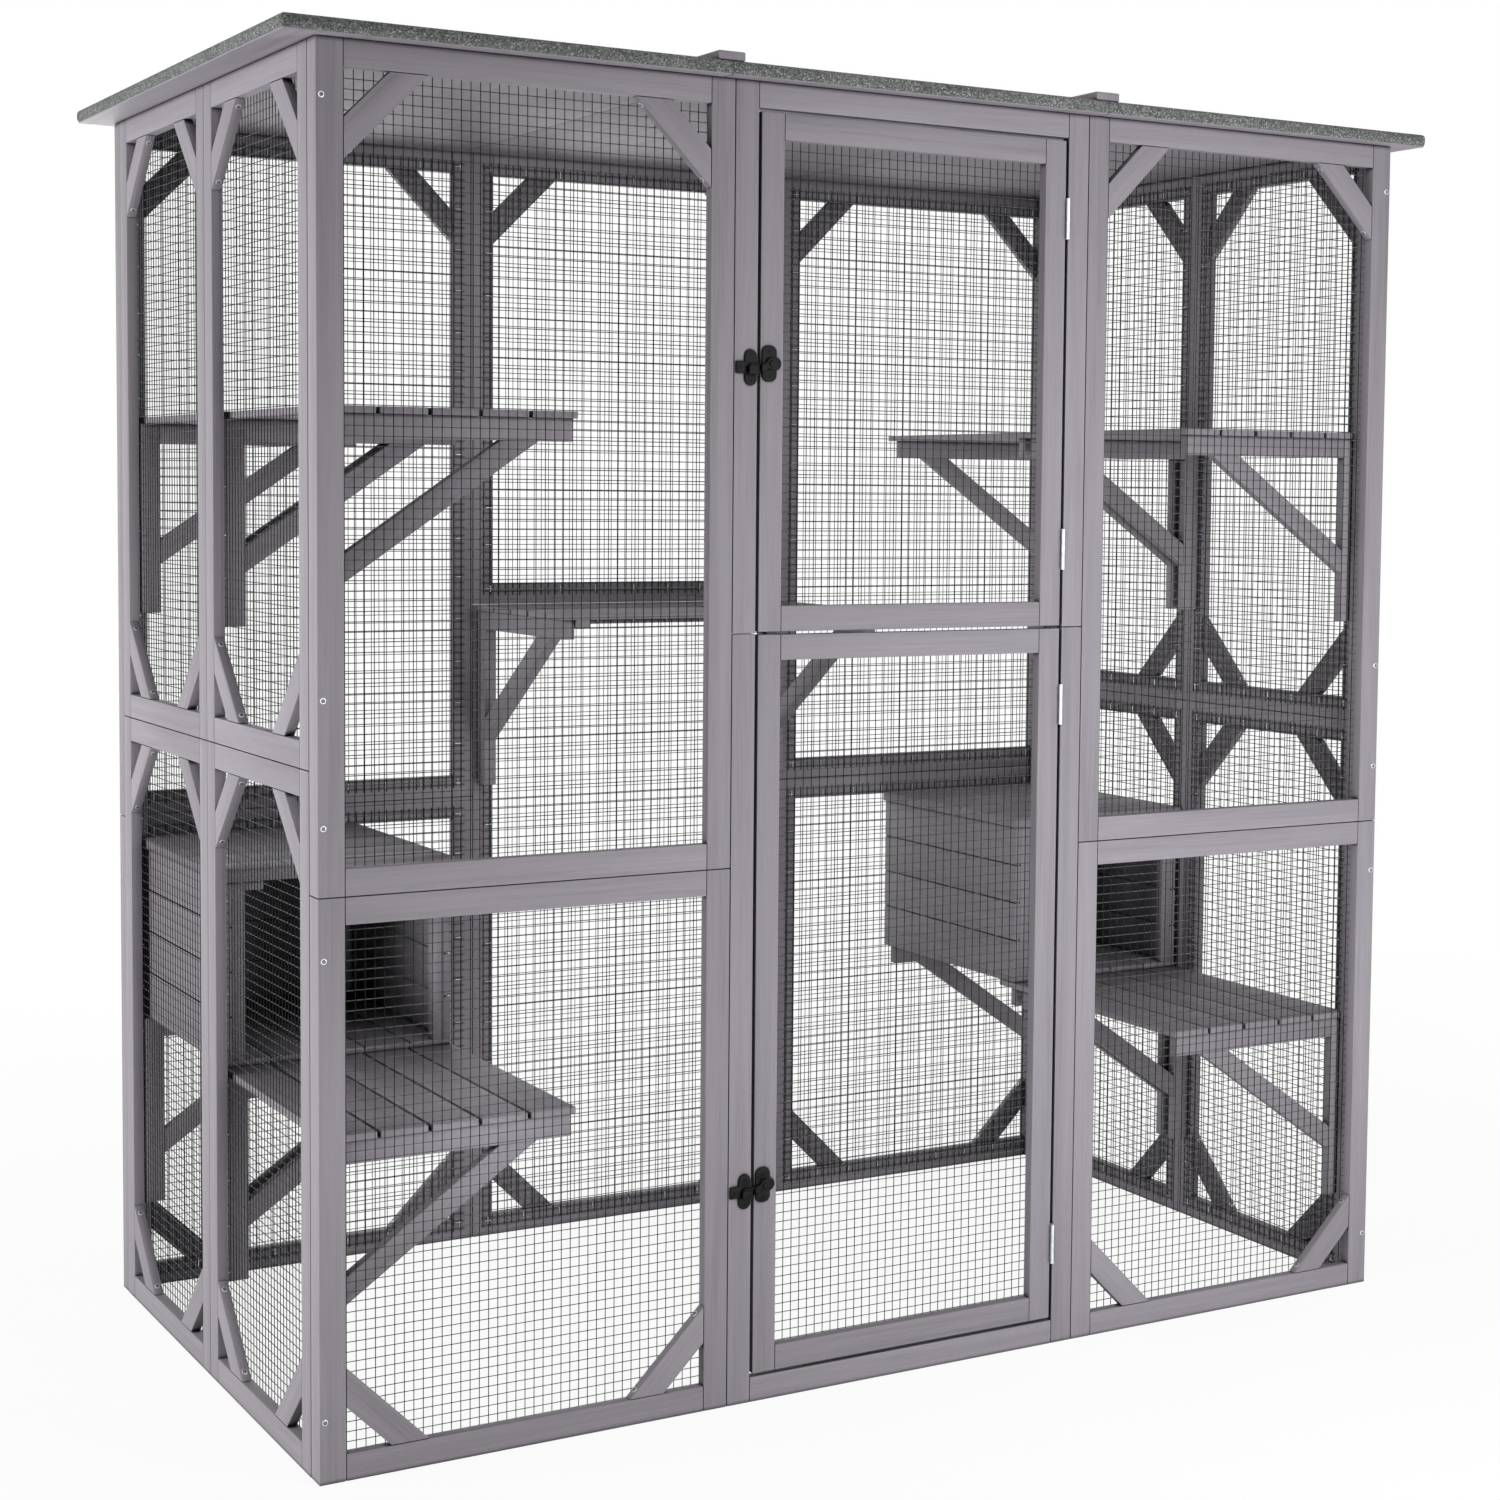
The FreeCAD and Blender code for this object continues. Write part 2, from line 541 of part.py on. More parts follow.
def house():
    """Floor, plank walls, jambs, corner blocks and boarded roof of the house on the left platform."""
    start, end = slat_span()
    left = LEFT + LINING + start + HOUSE_INSET
    right = LEFT + LINING + end - HOUSE_INSET
    back = SLAT_BACK - HOUSE_BACK_GAP
    bottom = PLATFORM_TOP + HOUSE_FLOOR_THICKNESS
    top = bottom + HOUSE_WALL_HEIGHT
    inner_left = left + HOUSE_PLANK_THICKNESS
    inner_right = right - HOUSE_PLANK_THICKNESS
    inner_back = back - HOUSE_PLANK_THICKNESS
    plank_height = (HOUSE_WALL_HEIGHT - (HOUSE_PLANK_COUNT - 1) * HOUSE_PLANK_GAP) / HOUSE_PLANK_COUNT
    walls = [box(left, right, HOUSE_FRONT, back, PLATFORM_TOP, bottom)]
    for index in range(HOUSE_PLANK_COUNT):
        low = bottom + index * (plank_height + HOUSE_PLANK_GAP)
        high = low + plank_height
        walls.append(box(left, inner_left, HOUSE_FRONT, back, low, high))
        walls.append(box(inner_right, right, HOUSE_FRONT, back, low, high))
        walls.append(box(inner_left, inner_right, inner_back, back, low, high))
    opening_left = inner_left + HOUSE_JAMB_WIDTH
    opening_right = inner_right - HOUSE_JAMB_WIDTH
    for y in (HOUSE_FRONT, inner_back - HOUSE_JAMB_DEPTH):
        walls.append(box(inner_left, opening_left, y, y + HOUSE_JAMB_DEPTH, bottom, top))
        walls.append(box(opening_right, inner_right, y, y + HOUSE_JAMB_DEPTH, bottom, top))
    # A small block fills each upper corner of the opening.
    for x in (opening_left, opening_right - HOUSE_BLOCK_WIDTH):
        walls.append(box(x, x + HOUSE_BLOCK_WIDTH, HOUSE_FRONT, HOUSE_FRONT + HOUSE_JAMB_DEPTH,
                         top - HOUSE_BLOCK_HEIGHT, top))
    roof_left = left - HOUSE_ROOF_OVERHANG
    roof_right = right + HOUSE_ROOF_OVERHANG
    roof_front = HOUSE_FRONT - HOUSE_ROOF_OVERHANG
    gaps = (HOUSE_ROOF_BOARD_COUNT - 1) * HOUSE_PLANK_GAP
    board_width = (back - roof_front - gaps) / HOUSE_ROOF_BOARD_COUNT
    boards = []
    for index in range(HOUSE_ROOF_BOARD_COUNT):
        y = roof_front + index * (board_width + HOUSE_PLANK_GAP)
        boards.append(box(roof_left, roof_right, y, y + board_width, top, top + HOUSE_ROOF_THICKNESS))
    return walls, boards


def houses():
    """The left house and its mirror image on the right."""
    walls, boards = house()
    return {
        "left_house_walls": walls,
        "left_house_roof": boards,
        "right_house_walls": mirrored(walls),
        "right_house_roof": mirrored(boards),
    }


STAGES = (front_wall, back_wall, side_walls, doors, hinges, latches, roof, side_shelves, back_shelf, houses)
for build in STAGES:
    for node, solids in build().items():
        shape = solids[0] if len(solids) == 1 else Part.makeCompound(solids)
        shape.exportStep("parts/%s.step" % node)
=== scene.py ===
"""Looks of a walk-in cat enclosure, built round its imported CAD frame.

Sizes are in millimetres until a piece is turned into an object, which is in metres.
"""
import logging
import math
import random
from dataclasses import dataclass
from enum import Enum
from functools import lru_cache
from typing import Iterable, Optional, Sequence, Union

import bmesh
import bpy
from mathutils import Euler, Matrix, Vector


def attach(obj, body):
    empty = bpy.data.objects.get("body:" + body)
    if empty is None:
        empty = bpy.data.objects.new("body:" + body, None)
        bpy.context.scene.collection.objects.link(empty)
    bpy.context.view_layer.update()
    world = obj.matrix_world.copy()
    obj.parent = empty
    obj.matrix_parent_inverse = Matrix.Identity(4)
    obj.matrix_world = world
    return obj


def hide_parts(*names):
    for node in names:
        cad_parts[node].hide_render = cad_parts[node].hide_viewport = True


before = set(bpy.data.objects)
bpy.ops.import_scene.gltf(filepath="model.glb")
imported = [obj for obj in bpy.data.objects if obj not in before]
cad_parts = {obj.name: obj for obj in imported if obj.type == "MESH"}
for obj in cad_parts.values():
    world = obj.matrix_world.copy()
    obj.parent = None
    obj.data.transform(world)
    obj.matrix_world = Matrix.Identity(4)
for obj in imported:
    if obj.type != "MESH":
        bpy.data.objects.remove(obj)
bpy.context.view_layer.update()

log = logging.getLogger("enclosure")
MM = 0.001
ENCLOSURE = "enclosure"
WHITE = "#ffffff"
SMOOTH_ANGLE = math.radians(40)
GRAIN_REACH = 4000.0  # How far the grain of two boards may lie apart.
SAW_WASTE = 4  # Widths of a strut that are there for its ends to be sawn off.
# The recess of a black screw is painted near black as painted shade, marked by this tone.
PIT_SHADE_TONE = 2.0  # Tone that marks the recess of a black screw.
X, Y, Z = range(3)
FACTOR, UNDER, OVER, MIXED = 0, 6, 7, 2  # Sockets of a Mix node on colours.
BLEND = {"data_type": "RGBA"}
MULTIPLY = {"data_type": "RGBA", "blend_type": "MULTIPLY"}
Span = tuple[float, float]
Stops = Sequence[tuple[float, str]]
Socket = bpy.types.NodeSocket


def srgb(code: str) -> tuple[float, float, float, float]:
    """Linear colour of an sRGB hex code.

    Args:
        code: Six hex digits, with or without a leading hash.

    Returns:
        Red, green, blue and alpha, linear.
    """
    digits = code.lstrip("#")
    values = [int(digits[i:i + 2], 16) / 255 for i in (0, 2, 4)]
    linear = [v / 12.92 if v <= 0.04045 else ((v + 0.055) / 1.055) ** 2.4 for v in values]
    return (linear[0], linear[1], linear[2], 1.0)


def per_metre(size: float) -> float:
    """Texture scale on coordinates in metres, for a pattern of a size in millimetres."""
    return 1.0 / (size * MM)


def add_object(name: str, data: bpy.types.ID) -> bpy.types.Object:
    """Adds an object to the scene.

    Args:
        name: Its name.
        data: Its mesh, light or camera.

    Returns:
        The object, at the origin.
    """
    thing = bpy.data.objects.new(name, data)
    bpy.context.scene.collection.objects.link(thing)
    return thing


class Slot(Enum):
    """Material slots of the record."""

    WOOD = "painted_wood"
    WIRE = "mesh_wire"
    FELT = "roof_felt"
    BLACK = "latch_black"
    ZINC = "hinge_zinc"


class Wall(Enum):
    """A wall of the enclosure, with the turn that takes a panel's own axes to it."""

    FRONT = 0
    RIGHT = 90
    BACK = 180
    LEFT = -90


class Side(Enum):
    """A side of the enclosure seen from the front, or of a panel seen from outside."""

    LEFT = "left"
    RIGHT = "right"
    BOTTOM = "bottom"
    TOP = "top"


class Level(Enum):
    """The upper or the lower of two panels, doors or latches."""

    UPPER = "upper"
    LOWER = "lower"

    @property
    def end(self) -> Side:
        """The end of its wall that a panel on this level reaches."""
        return Side.TOP if self is Level.UPPER else Side.BOTTOM


class Nodes:
    """The shader nodes of a material or a world."""

    def __init__(self, tree: bpy.types.NodeTree) -> None:
        """Takes the node tree that is built."""
        self.tree = tree

    @property
    def surface(self) -> bpy.types.Node:
        """The Principled surface of a material."""
        return self.tree.nodes["Principled BSDF"]

    def add(self, kind: str, output: Union[str, int], inputs: Optional[dict] = None, stops: Stops = (),
            **settings: object) -> Socket:
        """Adds a node with its settings and links.

        Args:
            kind: Node type without the ShaderNode prefix.
            output: Name or number of the output that is wanted.
            inputs: Name or number of each input to its constant, or to the output linked to it.
            stops: Place and hex colour of each stop of a colour ramp.
            settings: Properties of the node itself.

        Returns:
            The output.
        """
        node = self.tree.nodes.new("ShaderNode" + kind)
        for key, value in settings.items():
            setattr(node, key, value)
        for index, (place, code) in enumerate(stops):
            elements = node.color_ramp.elements
            element = elements[index] if index < len(elements) else elements.new(place)
            element.position = place
            element.color = srgb(code)
        self.feed(node, inputs or {})
        return node.outputs[output]

    def feed(self, node: bpy.types.Node, inputs: dict) -> None:
        """Sets inputs of a node to constants, or links outputs to them.

        Args:
            node: The node.
            inputs: Name or number of each input to its constant, or to the output linked to it.
        """
        for key, value in inputs.items():
            if isinstance(value, Socket):
                self.tree.links.new(value, node.inputs[key])
            else:
                node.inputs[key].default_value = value


def seen_ray(nodes: Nodes) -> Socket:
    """One where a ray comes from the eye or by way of a mirror or glass, and zero for lighting rays.

    Args:
        nodes: Where its nodes are added.

    Returns:
        The output that holds it.
    """
    camera = nodes.add("LightPath", "Is Camera Ray")
    total = camera
    for name in ("Is Glossy Ray", "Is Transmission Ray"):
        total = nodes.add("Math", "Value", {0: total, 1: camera.node.outputs[name]}, operation="MAXIMUM")
    return total


@dataclass(frozen=True)
class Finish:
    """A material, named for what the real one is. The sizes of its patterns are in millimetres."""

    name: str

    def material(self) -> bpy.types.Material:
        """Makes the material.

        Returns:
            The material, with its shader built.
        """
        made = bpy.data.materials.new(self.name)
        made.use_nodes = True
        self.paint(Nodes(made.node_tree))
        return made

    def paint(self, nodes: Nodes) -> None:
        """Builds the shader on the material's nodes."""
        raise NotImplementedError


@dataclass(frozen=True)
class PaintedWood(Finish):
    """Planed softwood, brushed with thin grey satin paint."""

    # The grain shows through as soft streaks along each board and no two boards are quite the same grey.
    # Painted shade turns the joints into dark lines and makes the inside of a house nearly black.
    name: str = "painted_wood"
    dark: str = "#7d787e"
    middle: str = "#948f96"
    light: str = "#a29da3"
    # Length and width in the grain, then detail, roughness and distortion, of the broad bands, the
    # streaks and the pores. Real pores are finer. These are as coarse as they need to be to show.
    patterns: tuple = (((454.5, 18.18), 5.0, 0.6, 0.7), ((166.7, 2.381), 6.0, 0.65, 0.3),
                       ((33.33, 0.5263), 3.0, 0.6, 0.0))
    # Reach in millimetres of the painted shade where surfaces lie close, and of the deeper painted shade in hollows
    # such as a house.
    crevice: float = 8.0
    recess: float = 400.0

    def paint(self, nodes: Nodes) -> None:
        """Builds the shader on each board's own grain, with painted shade where boards meet and deep in hollows.

        Args:
            nodes: The material's nodes.
        """
        grain = nodes.add("Attribute", "Vector", attribute_name="grain")
        tone = nodes.add("Attribute", "Fac", attribute_name="tone")
        noises = []
        for (length, width), detail, roughness, distortion in self.patterns:
            scale = (1 / length, 1 / width, 1 / width)
            drawn = nodes.add("Mapping", "Vector", {"Vector": grain, "Scale": scale})
            noises.append(nodes.add("TexNoise", "Fac", {
                "Vector": drawn, "Scale": 1.0, "Detail": detail, "Roughness": roughness, "Distortion": distortion}))
        bands, streaks, pores = noises
        figure = nodes.add("Mix", MIXED, {FACTOR: 0.45, UNDER: bands, OVER: streaks}, **BLEND)
        shades = [(0.3, self.dark), (0.5, self.middle), (0.72, self.light)]
        paint = nodes.add("ValToRGB", "Color", {"Fac": figure}, shades)
        board = nodes.add("ValToRGB", "Color", {"Fac": tone}, [(0.0, "#8d888e"), (1.0, "#a7a2a8")])
        colour = nodes.add("Mix", MIXED, {FACTOR: 0.3, UNDER: paint, OVER: board}, **BLEND)
        filled = nodes.add("MapRange", "Result", {"Value": pores, "To Min": 0.0, "To Max": 0.22})
        worn = nodes.add("Mix", MIXED, {FACTOR: filled, UNDER: colour, OVER: srgb("#6f6a70")}, **MULTIPLY)
        # Painted shade: the colour darkens where other surfaces are near, in joints and gaps, and goes near black deep
        # inside a house.
        near = nodes.add("AmbientOcclusion", "AO", {"Distance": self.crevice * MM}, samples=6)
        crevice_shade_stops = [(0.25, "#1c1a1c"), (0.6, "#a6a4a6"), (0.85, WHITE)]
        shadow = nodes.add("ValToRGB", "Color", {"Fac": near}, crevice_shade_stops)
        deep = nodes.add("AmbientOcclusion", "AO", {"Distance": self.recess * MM}, samples=4)
        gloom = nodes.add("ValToRGB", "Color", {"Fac": deep}, [(0.06, "#121012"), (0.25, WHITE)])
        shade = nodes.add("Mix", MIXED, {FACTOR: 1.0, UNDER: shadow, OVER: gloom}, **MULTIPLY)
        shaded_colour = nodes.add("Mix", MIXED, {FACTOR: 1.0, UNDER: worn, OVER: shade}, **MULTIPLY)
        ridges = nodes.add("Bump", "Normal", {"Height": streaks, "Strength": 0.35, "Distance": 0.0009})
        relief = nodes.add("Bump", "Normal", {"Height": pores, "Strength": 0.25, "Distance": 0.0004,
                                              "Normal": ridges})
        sheen = nodes.add("MapRange", "Result", {"Value": streaks, "To Min": 0.46, "To Max": 0.66})
        nodes.feed(nodes.surface, {"Base Color": shaded_colour, "Roughness": sheen, "Normal": relief,
                                   "Specular IOR Level": 0.15})


@dataclass(frozen=True)
class GreyWire(Finish):
    """Welded steel wire with a dull coated skin."""

    # Thin lines with hardly any shine, mottled every few millimetres. The upright wires are painted
    # nearly black as painted shade and the level ones a paler grey as painted light from above.
    name: str = "grey_wire"
    # Painted shade on the upright wires and painted light on the level wires: two shades of the same wire.
    upright: tuple = ("#0f0f10", "#1f1f21")
    level: tuple = ("#4a4a4c", "#69696b")
    mottle: float = 4.167

    def paint(self, nodes: Nodes) -> None:
        """Builds the shader, where a tone of 1 marks a level wire, which gets the paler painted-light grey.

        Args:
            nodes: The material's nodes.
        """
        place = nodes.add("TexCoord", "Object")
        tone = nodes.add("Attribute", "Fac", attribute_name="tone")
        mottle = nodes.add("TexNoise", "Fac", {"Vector": place, "Scale": per_metre(self.mottle), "Detail": 3.0,
                                               "Roughness": 0.55})
        # The upright wires get the painted-shade ramp and the level wires the painted-light ramp.
        dark, light = (nodes.add("ValToRGB", "Color", {"Fac": mottle}, [(0.35, low), (0.7, high)])
                       for low, high in (self.upright, self.level))
        colour = nodes.add("Mix", MIXED, {FACTOR: tone, UNDER: dark, OVER: light}, **BLEND)
        sheen = nodes.add("MapRange", "Result", {"Value": mottle, "To Min": 0.4, "To Max": 0.6})
        nodes.feed(nodes.surface, {"Base Color": colour, "Roughness": sheen, "Metallic": 0.0,
                                   "Specular IOR Level": 0.08})


@dataclass(frozen=True)
class MineralFelt(Finish):
    """Bitumen felt, rolled with mineral granules."""

    # A rough, speckled grey without any shine, in slow drifts of darker and paler felt. The granules
    # are drawn a little coarser than real ones, to show.
    name: str = "mineral_felt"
    granule: float = 1.613
    drift: float = 111.1
    wave: float = 28.57

    def paint(self, nodes: Nodes) -> None:
        """Builds the shader from granules and slow changes of shade.

        Args:
            nodes: The material's nodes.
        """
        place = nodes.add("TexCoord", "Object")
        cells = nodes.add("TexVoronoi", "Color", {"Vector": place, "Scale": per_metre(self.granule),
                                                  "Randomness": 1.0})
        red = nodes.add("SeparateColor", "Red", {"Color": cells})
        grits = [(0.0, "#333535"), (0.35, "#535655"), (0.7, "#767978"), (0.93, "#9a9d9b"), (1.0, "#c6c8c7")]
        grains = nodes.add("ValToRGB", "Color", {"Fac": red}, grits)
        slow = nodes.add("TexNoise", "Fac", {"Vector": place, "Scale": per_metre(self.drift), "Detail": 5.0,
                                             "Roughness": 0.6})
        drift = nodes.add("ValToRGB", "Color", {"Fac": slow}, [(0.3, "#555857"), (0.7, "#7a7d7b")])
        colour = nodes.add("Mix", MIXED, {FACTOR: 0.35, UNDER: grains, OVER: drift}, **BLEND)
        swell = nodes.add("TexNoise", "Fac", {"Vector": place, "Scale": per_metre(self.wave), "Detail": 3.0,
                                              "Roughness": 0.55})
        waves = nodes.add("Bump", "Normal", {"Height": swell, "Strength": 0.4, "Distance": 0.002})
        relief = nodes.add("Bump", "Normal", {"Height": cells.node.outputs["Distance"], "Strength": 0.6,
                                              "Distance": 0.0008, "Normal": waves})
        nodes.feed(nodes.surface, {"Base Color": colour, "Roughness": 0.92, "Normal": relief,
                                   "Specular IOR Level": 0.2})


@dataclass(frozen=True)
class BlackCoating(Finish):
    """Zinc castings with a black powder coating."""

    # Near black, with a dull gleam along rounded edges and painted shade that draws dark lines where the
    # castings meet. The cast texture is drawn coarser than a real one, to show.
    name: str = "black_coating"
    cast: float = 1.111
    patch: float = 11.11
    crevice: float = 5.0

    def paint(self, nodes: Nodes) -> None:
        """Builds the shader, with painted shade in the recess of a screw and where the castings meet.

        Args:
            nodes: The material's nodes.
        """
        place = nodes.add("TexCoord", "Object")
        tone = nodes.add("Attribute", "Fac", attribute_name="tone")
        cast = nodes.add("TexNoise", "Fac", {"Vector": place, "Scale": per_metre(self.cast), "Detail": 3.0,
                                             "Roughness": 0.6})
        patch = nodes.add("TexNoise", "Fac", {"Vector": place, "Scale": per_metre(self.patch), "Detail": 3.0,
                                              "Roughness": 0.55})
        coat = nodes.add("ValToRGB", "Color", {"Fac": patch}, [(0.3, "#101011"), (0.75, "#1f1f21")])
        # Painted shade: the recess of a screw is painted near black.
        pit = nodes.add("MapRange", "Result", {"Value": tone, "From Min": 1.0, "From Max": PIT_SHADE_TONE})
        colour = nodes.add("Mix", MIXED, {FACTOR: pit, UNDER: coat, OVER: srgb("#030303")}, **BLEND)
        # Painted shade: the colour darkens where other surfaces lie within a few millimetres.
        near = nodes.add("AmbientOcclusion", "AO", {"Distance": self.crevice * MM}, samples=6)
        shadow = nodes.add("ValToRGB", "Color", {"Fac": near}, [(0.3, "#202020"), (0.8, WHITE)])
        shaded_colour = nodes.add("Mix", MIXED, {FACTOR: 1.0, UNDER: colour, OVER: shadow}, **MULTIPLY)
        sheen = nodes.add("MapRange", "Result", {"Value": patch, "To Min": 0.38, "To Max": 0.55})
        relief = nodes.add("Bump", "Normal", {"Height": cast, "Strength": 0.3, "Distance": 0.0002})
        nodes.feed(nodes.surface, {"Base Color": shaded_colour, "Roughness": sheen, "Normal": relief,
                                   "Specular IOR Level": 0.08})


@dataclass(frozen=True)
class ZincPlate(Finish):
    """Pressed steel, plated with bright zinc."""

    # Pale metal, faintly cloudy, whose screws are bright dots with a middle painted black as painted shade.
    name: str = "zinc_plate"
    cloud: float = 6.25

    def paint(self, nodes: Nodes) -> None:
        """Builds the shader, where a tone of 1 marks the recess of a screw, painted near black as painted shade.

        Args:
            nodes: The material's nodes.
        """
        place = nodes.add("TexCoord", "Object")
        recess = nodes.add("Attribute", "Fac", attribute_name="tone")
        cloud = nodes.add("TexNoise", "Fac", {"Vector": place, "Scale": per_metre(self.cloud), "Detail": 4.0,
                                              "Roughness": 0.6})
        plate = nodes.add("ValToRGB", "Color", {"Fac": cloud}, [(0.3, "#c4c6c9"), (0.7, "#e6e7e8")])
        # Painted shade: the screw recess is painted near black.
        colour = nodes.add("Mix", MIXED, {FACTOR: recess, UNDER: plate, OVER: srgb("#0f0f10")}, **BLEND)
        sheen = nodes.add("MapRange", "Result", {"Value": cloud, "To Min": 0.3, "To Max": 0.5})
        nodes.feed(nodes.surface, {"Base Color": colour, "Metallic": 0.7, "Roughness": sheen})


@dataclass(frozen=True)
class StudioFloor(Finish):
    """Plain pale paper, whose share of white grows from near the object to far from it, in metres."""

    # White all round, with only a faint shadow under the object.
    name: str = "studio_floor"
    drift: float = 666.7
    near: Span = (1.6, 0.92)
    far: Span = (3.6, 1.0)

    def paint(self, nodes: Nodes) -> None:
        """Builds the shader, lifted to white where it is looked at.

        Args:
            nodes: The material's nodes.
        """
        place = nodes.add("TexCoord", "Object")
        drift = nodes.add("TexNoise", "Fac", {"Vector": place, "Scale": per_metre(self.drift), "Detail": 3.0,
                                              "Roughness": 0.55})
        colour = nodes.add("ValToRGB", "Color", {"Fac": drift}, [(0.3, "#f2f2f2"), (0.7, "#f7f7f7")])
        nodes.feed(nodes.surface, {"Base Color": colour, "Roughness": 0.85, "Specular IOR Level": 0.1})
        white = nodes.add("Emission", "Emission", {"Color": srgb(WHITE), "Strength": 1.0})
        distance = nodes.add("VectorMath", "Value", {0: place}, operation="LENGTH")
        lift = nodes.add("MapRange", "Result", {"Value": distance, "From Min": self.near[0], "From Max": self.far[0],
                                                "To Min": self.near[1], "To Max": self.far[1]})
        share = nodes.add("Math", "Value", {0: seen_ray(nodes), 1: lift}, operation="MULTIPLY")
        mixed = nodes.add("MixShader", "Shader", {0: share, 1: nodes.surface.outputs["BSDF"], 2: white})
        nodes.feed(nodes.tree.nodes["Material Output"], {"Surface": mixed})


FINISHES = {Slot.WOOD: PaintedWood(), Slot.WIRE: GreyWire(), Slot.FELT: MineralFelt(),
            Slot.BLACK: BlackCoating(), Slot.ZINC: ZincPlate()}


@lru_cache(maxsize=None)
def finish_of(slot: Slot) -> bpy.types.Material:
    """The material of a slot, made once."""
    return FINISHES[slot].material()


class Piece:
    """One visible piece: solids in millimetres that become one object riding on a body."""

    def __init__(self, name: str, slot: Slot, body: str = ENCLOSURE) -> None:
        """Starts an empty piece with its own seeded random numbers.

        Args:
            name: Its name, which is also the seed.
            slot: Its material slot.
            body: The body that it rides on.
        """
        self.name = name
        self.slot = slot
        self.body = body
        self.random = random.Random(name)
        self.mesh = self.solid()

    @staticmethod
    def solid() -> bmesh.types.BMesh:
        """Starts a mesh with the layers that every piece has.

        Returns:
            The empty mesh.
        """
        part = bmesh.new()
        part.verts.layers.float_vector.new("grain")
        part.verts.layers.float.new("tone")
        return part

    def block(self, x: Span, y: Span, z: Span) -> bmesh.types.BMesh:
        """Starts a solid as a plain block.

        Args:
            x: Its lowest and highest x.
            y: The same in y.
            z: The same in z.

        Returns:
            The solid.
        """
        part = self.solid()
        bmesh.ops.create_cube(part, size=1.0)
        low, high = (Vector(corner) for corner in zip(x, y, z))
        bmesh.ops.scale(part, vec=high - low, verts=part.verts)
        bmesh.ops.translate(part, vec=(low + high) / 2, verts=part.verts)
        return part

    def join(self, part: bmesh.types.BMesh, place: Matrix = Matrix(), along: int = X,
             tone: Optional[float] = None) -> None:
        """Adds a finished solid to the piece.

        Args:
            part: The solid, which is freed.
            place: Its place in the piece.
            along: Axis of the solid that its grain follows.
            tone: Its shade from 0 to 1, or a random one.
        """
        grain = part.verts.layers.float_vector["grain"]
        shading = part.verts.layers.float["tone"]
        offset = Vector([self.random.uniform(-GRAIN_REACH, GRAIN_REACH) for _ in range(3)])
        shade = self.random.random() if tone is None else tone
        others = [axis for axis in range(3) if axis != along]
        for vert in part.verts:
            vert[grain] = Vector((vert.co[along], vert.co[others[0]], vert.co[others[1]])) + offset
            vert[shading] = shade
        part.transform(place)
        held = bpy.data.meshes.new("held")
        part.to_mesh(held)
        part.free()
        self.mesh.from_mesh(held)
        bpy.data.meshes.remove(held)

    def board(self, x: Span, y: Span, z: Span, along: int, place: Matrix = Matrix(), ease: float = 1.0,
              segments: int = 2) -> None:
        """Adds a straight board with eased edges.

        Args:
            x: Its lowest and highest x.
            y: The same in y.
            z: The same in z.
            along: Axis that its grain follows.
            place: Matrix that puts it in place.
            ease: Size of the rounded edge.
            segments: Facets across the rounded edge.
        """
        part = self.block(x, y, z)
        self.soften(part, part.edges[:], ease, segments)
        self.join(part, place, along)

    def strut(self, start: Vector, end: Vector, width: float, y: Span, cuts: Iterable[tuple[Vector, Vector]],
              place: Matrix = Matrix(), ease: float = 1.2) -> None:
        """Adds a slanting board in the XZ plane, sawn off by planes at its ends.

        Args:
            start: A point on its middle line at one end.
            end: A point on its middle line at the other end.
            width: Its width across the slope.
            y: Its two faces.
            cuts: Point and outward normal of each saw cut.
            place: Matrix that puts it in place.
            ease: Size of the rounded edge.
        """
        run = end - start
        middle = (start + end) / 2
        turn = Matrix.Rotation(-math.atan2(run.z, run.x), 4, "Y")
        slope = Matrix.Translation((middle.x, sum(y) / 2, middle.z)) @ turn
        halves = [size / 2 for size in (run.length + SAW_WASTE * width, y[1] - y[0], width)]
        part = self.block(*((-half, half) for half in halves))
        back = slope.inverted()
        for point, normal in cuts:
            geometry = part.verts[:] + part.edges[:] + part.faces[:]
            bmesh.ops.bisect_plane(part, geom=geometry, plane_co=back @ point,
                                   plane_no=back.to_3x3() @ normal, clear_outer=True)
            bmesh.ops.holes_fill(part, edges=[edge for edge in part.edges if edge.is_boundary])
        self.soften(part, part.edges[:], ease, 2)
        self.join(part, place @ slope)

    def disc(self, centre: Sequence[float], radius: float, y: Span, place: Matrix = Matrix(), ease: float = 0.8,
             segments: int = 36, tone: Optional[float] = None) -> None:
        """Adds a round plate that faces along y, with an eased rim.

        Args:
            centre: Its middle in x and z.
            radius: Its radius.
            y: Its two faces.
            place: Matrix that puts it in place.
            ease: Size of the rounded rim.
            segments: Facets round the rim.
            tone: Its shade, or a random one.
        """
        part = self.solid()
        bmesh.ops.create_cone(part, cap_ends=True, segments=segments, radius1=radius, radius2=radius,
                              depth=y[1] - y[0], matrix=Matrix.Rotation(math.pi / 2, 4, "X"))
        bmesh.ops.translate(part, vec=(centre[0], sum(y) / 2, centre[1]), verts=part.verts)
        rims = [edge for edge in part.edges if any(len(face.verts) > 4 for face in edge.link_faces)]
        self.soften(part, rims, ease, 3, clamp=False)
        self.join(part, place, tone=tone)

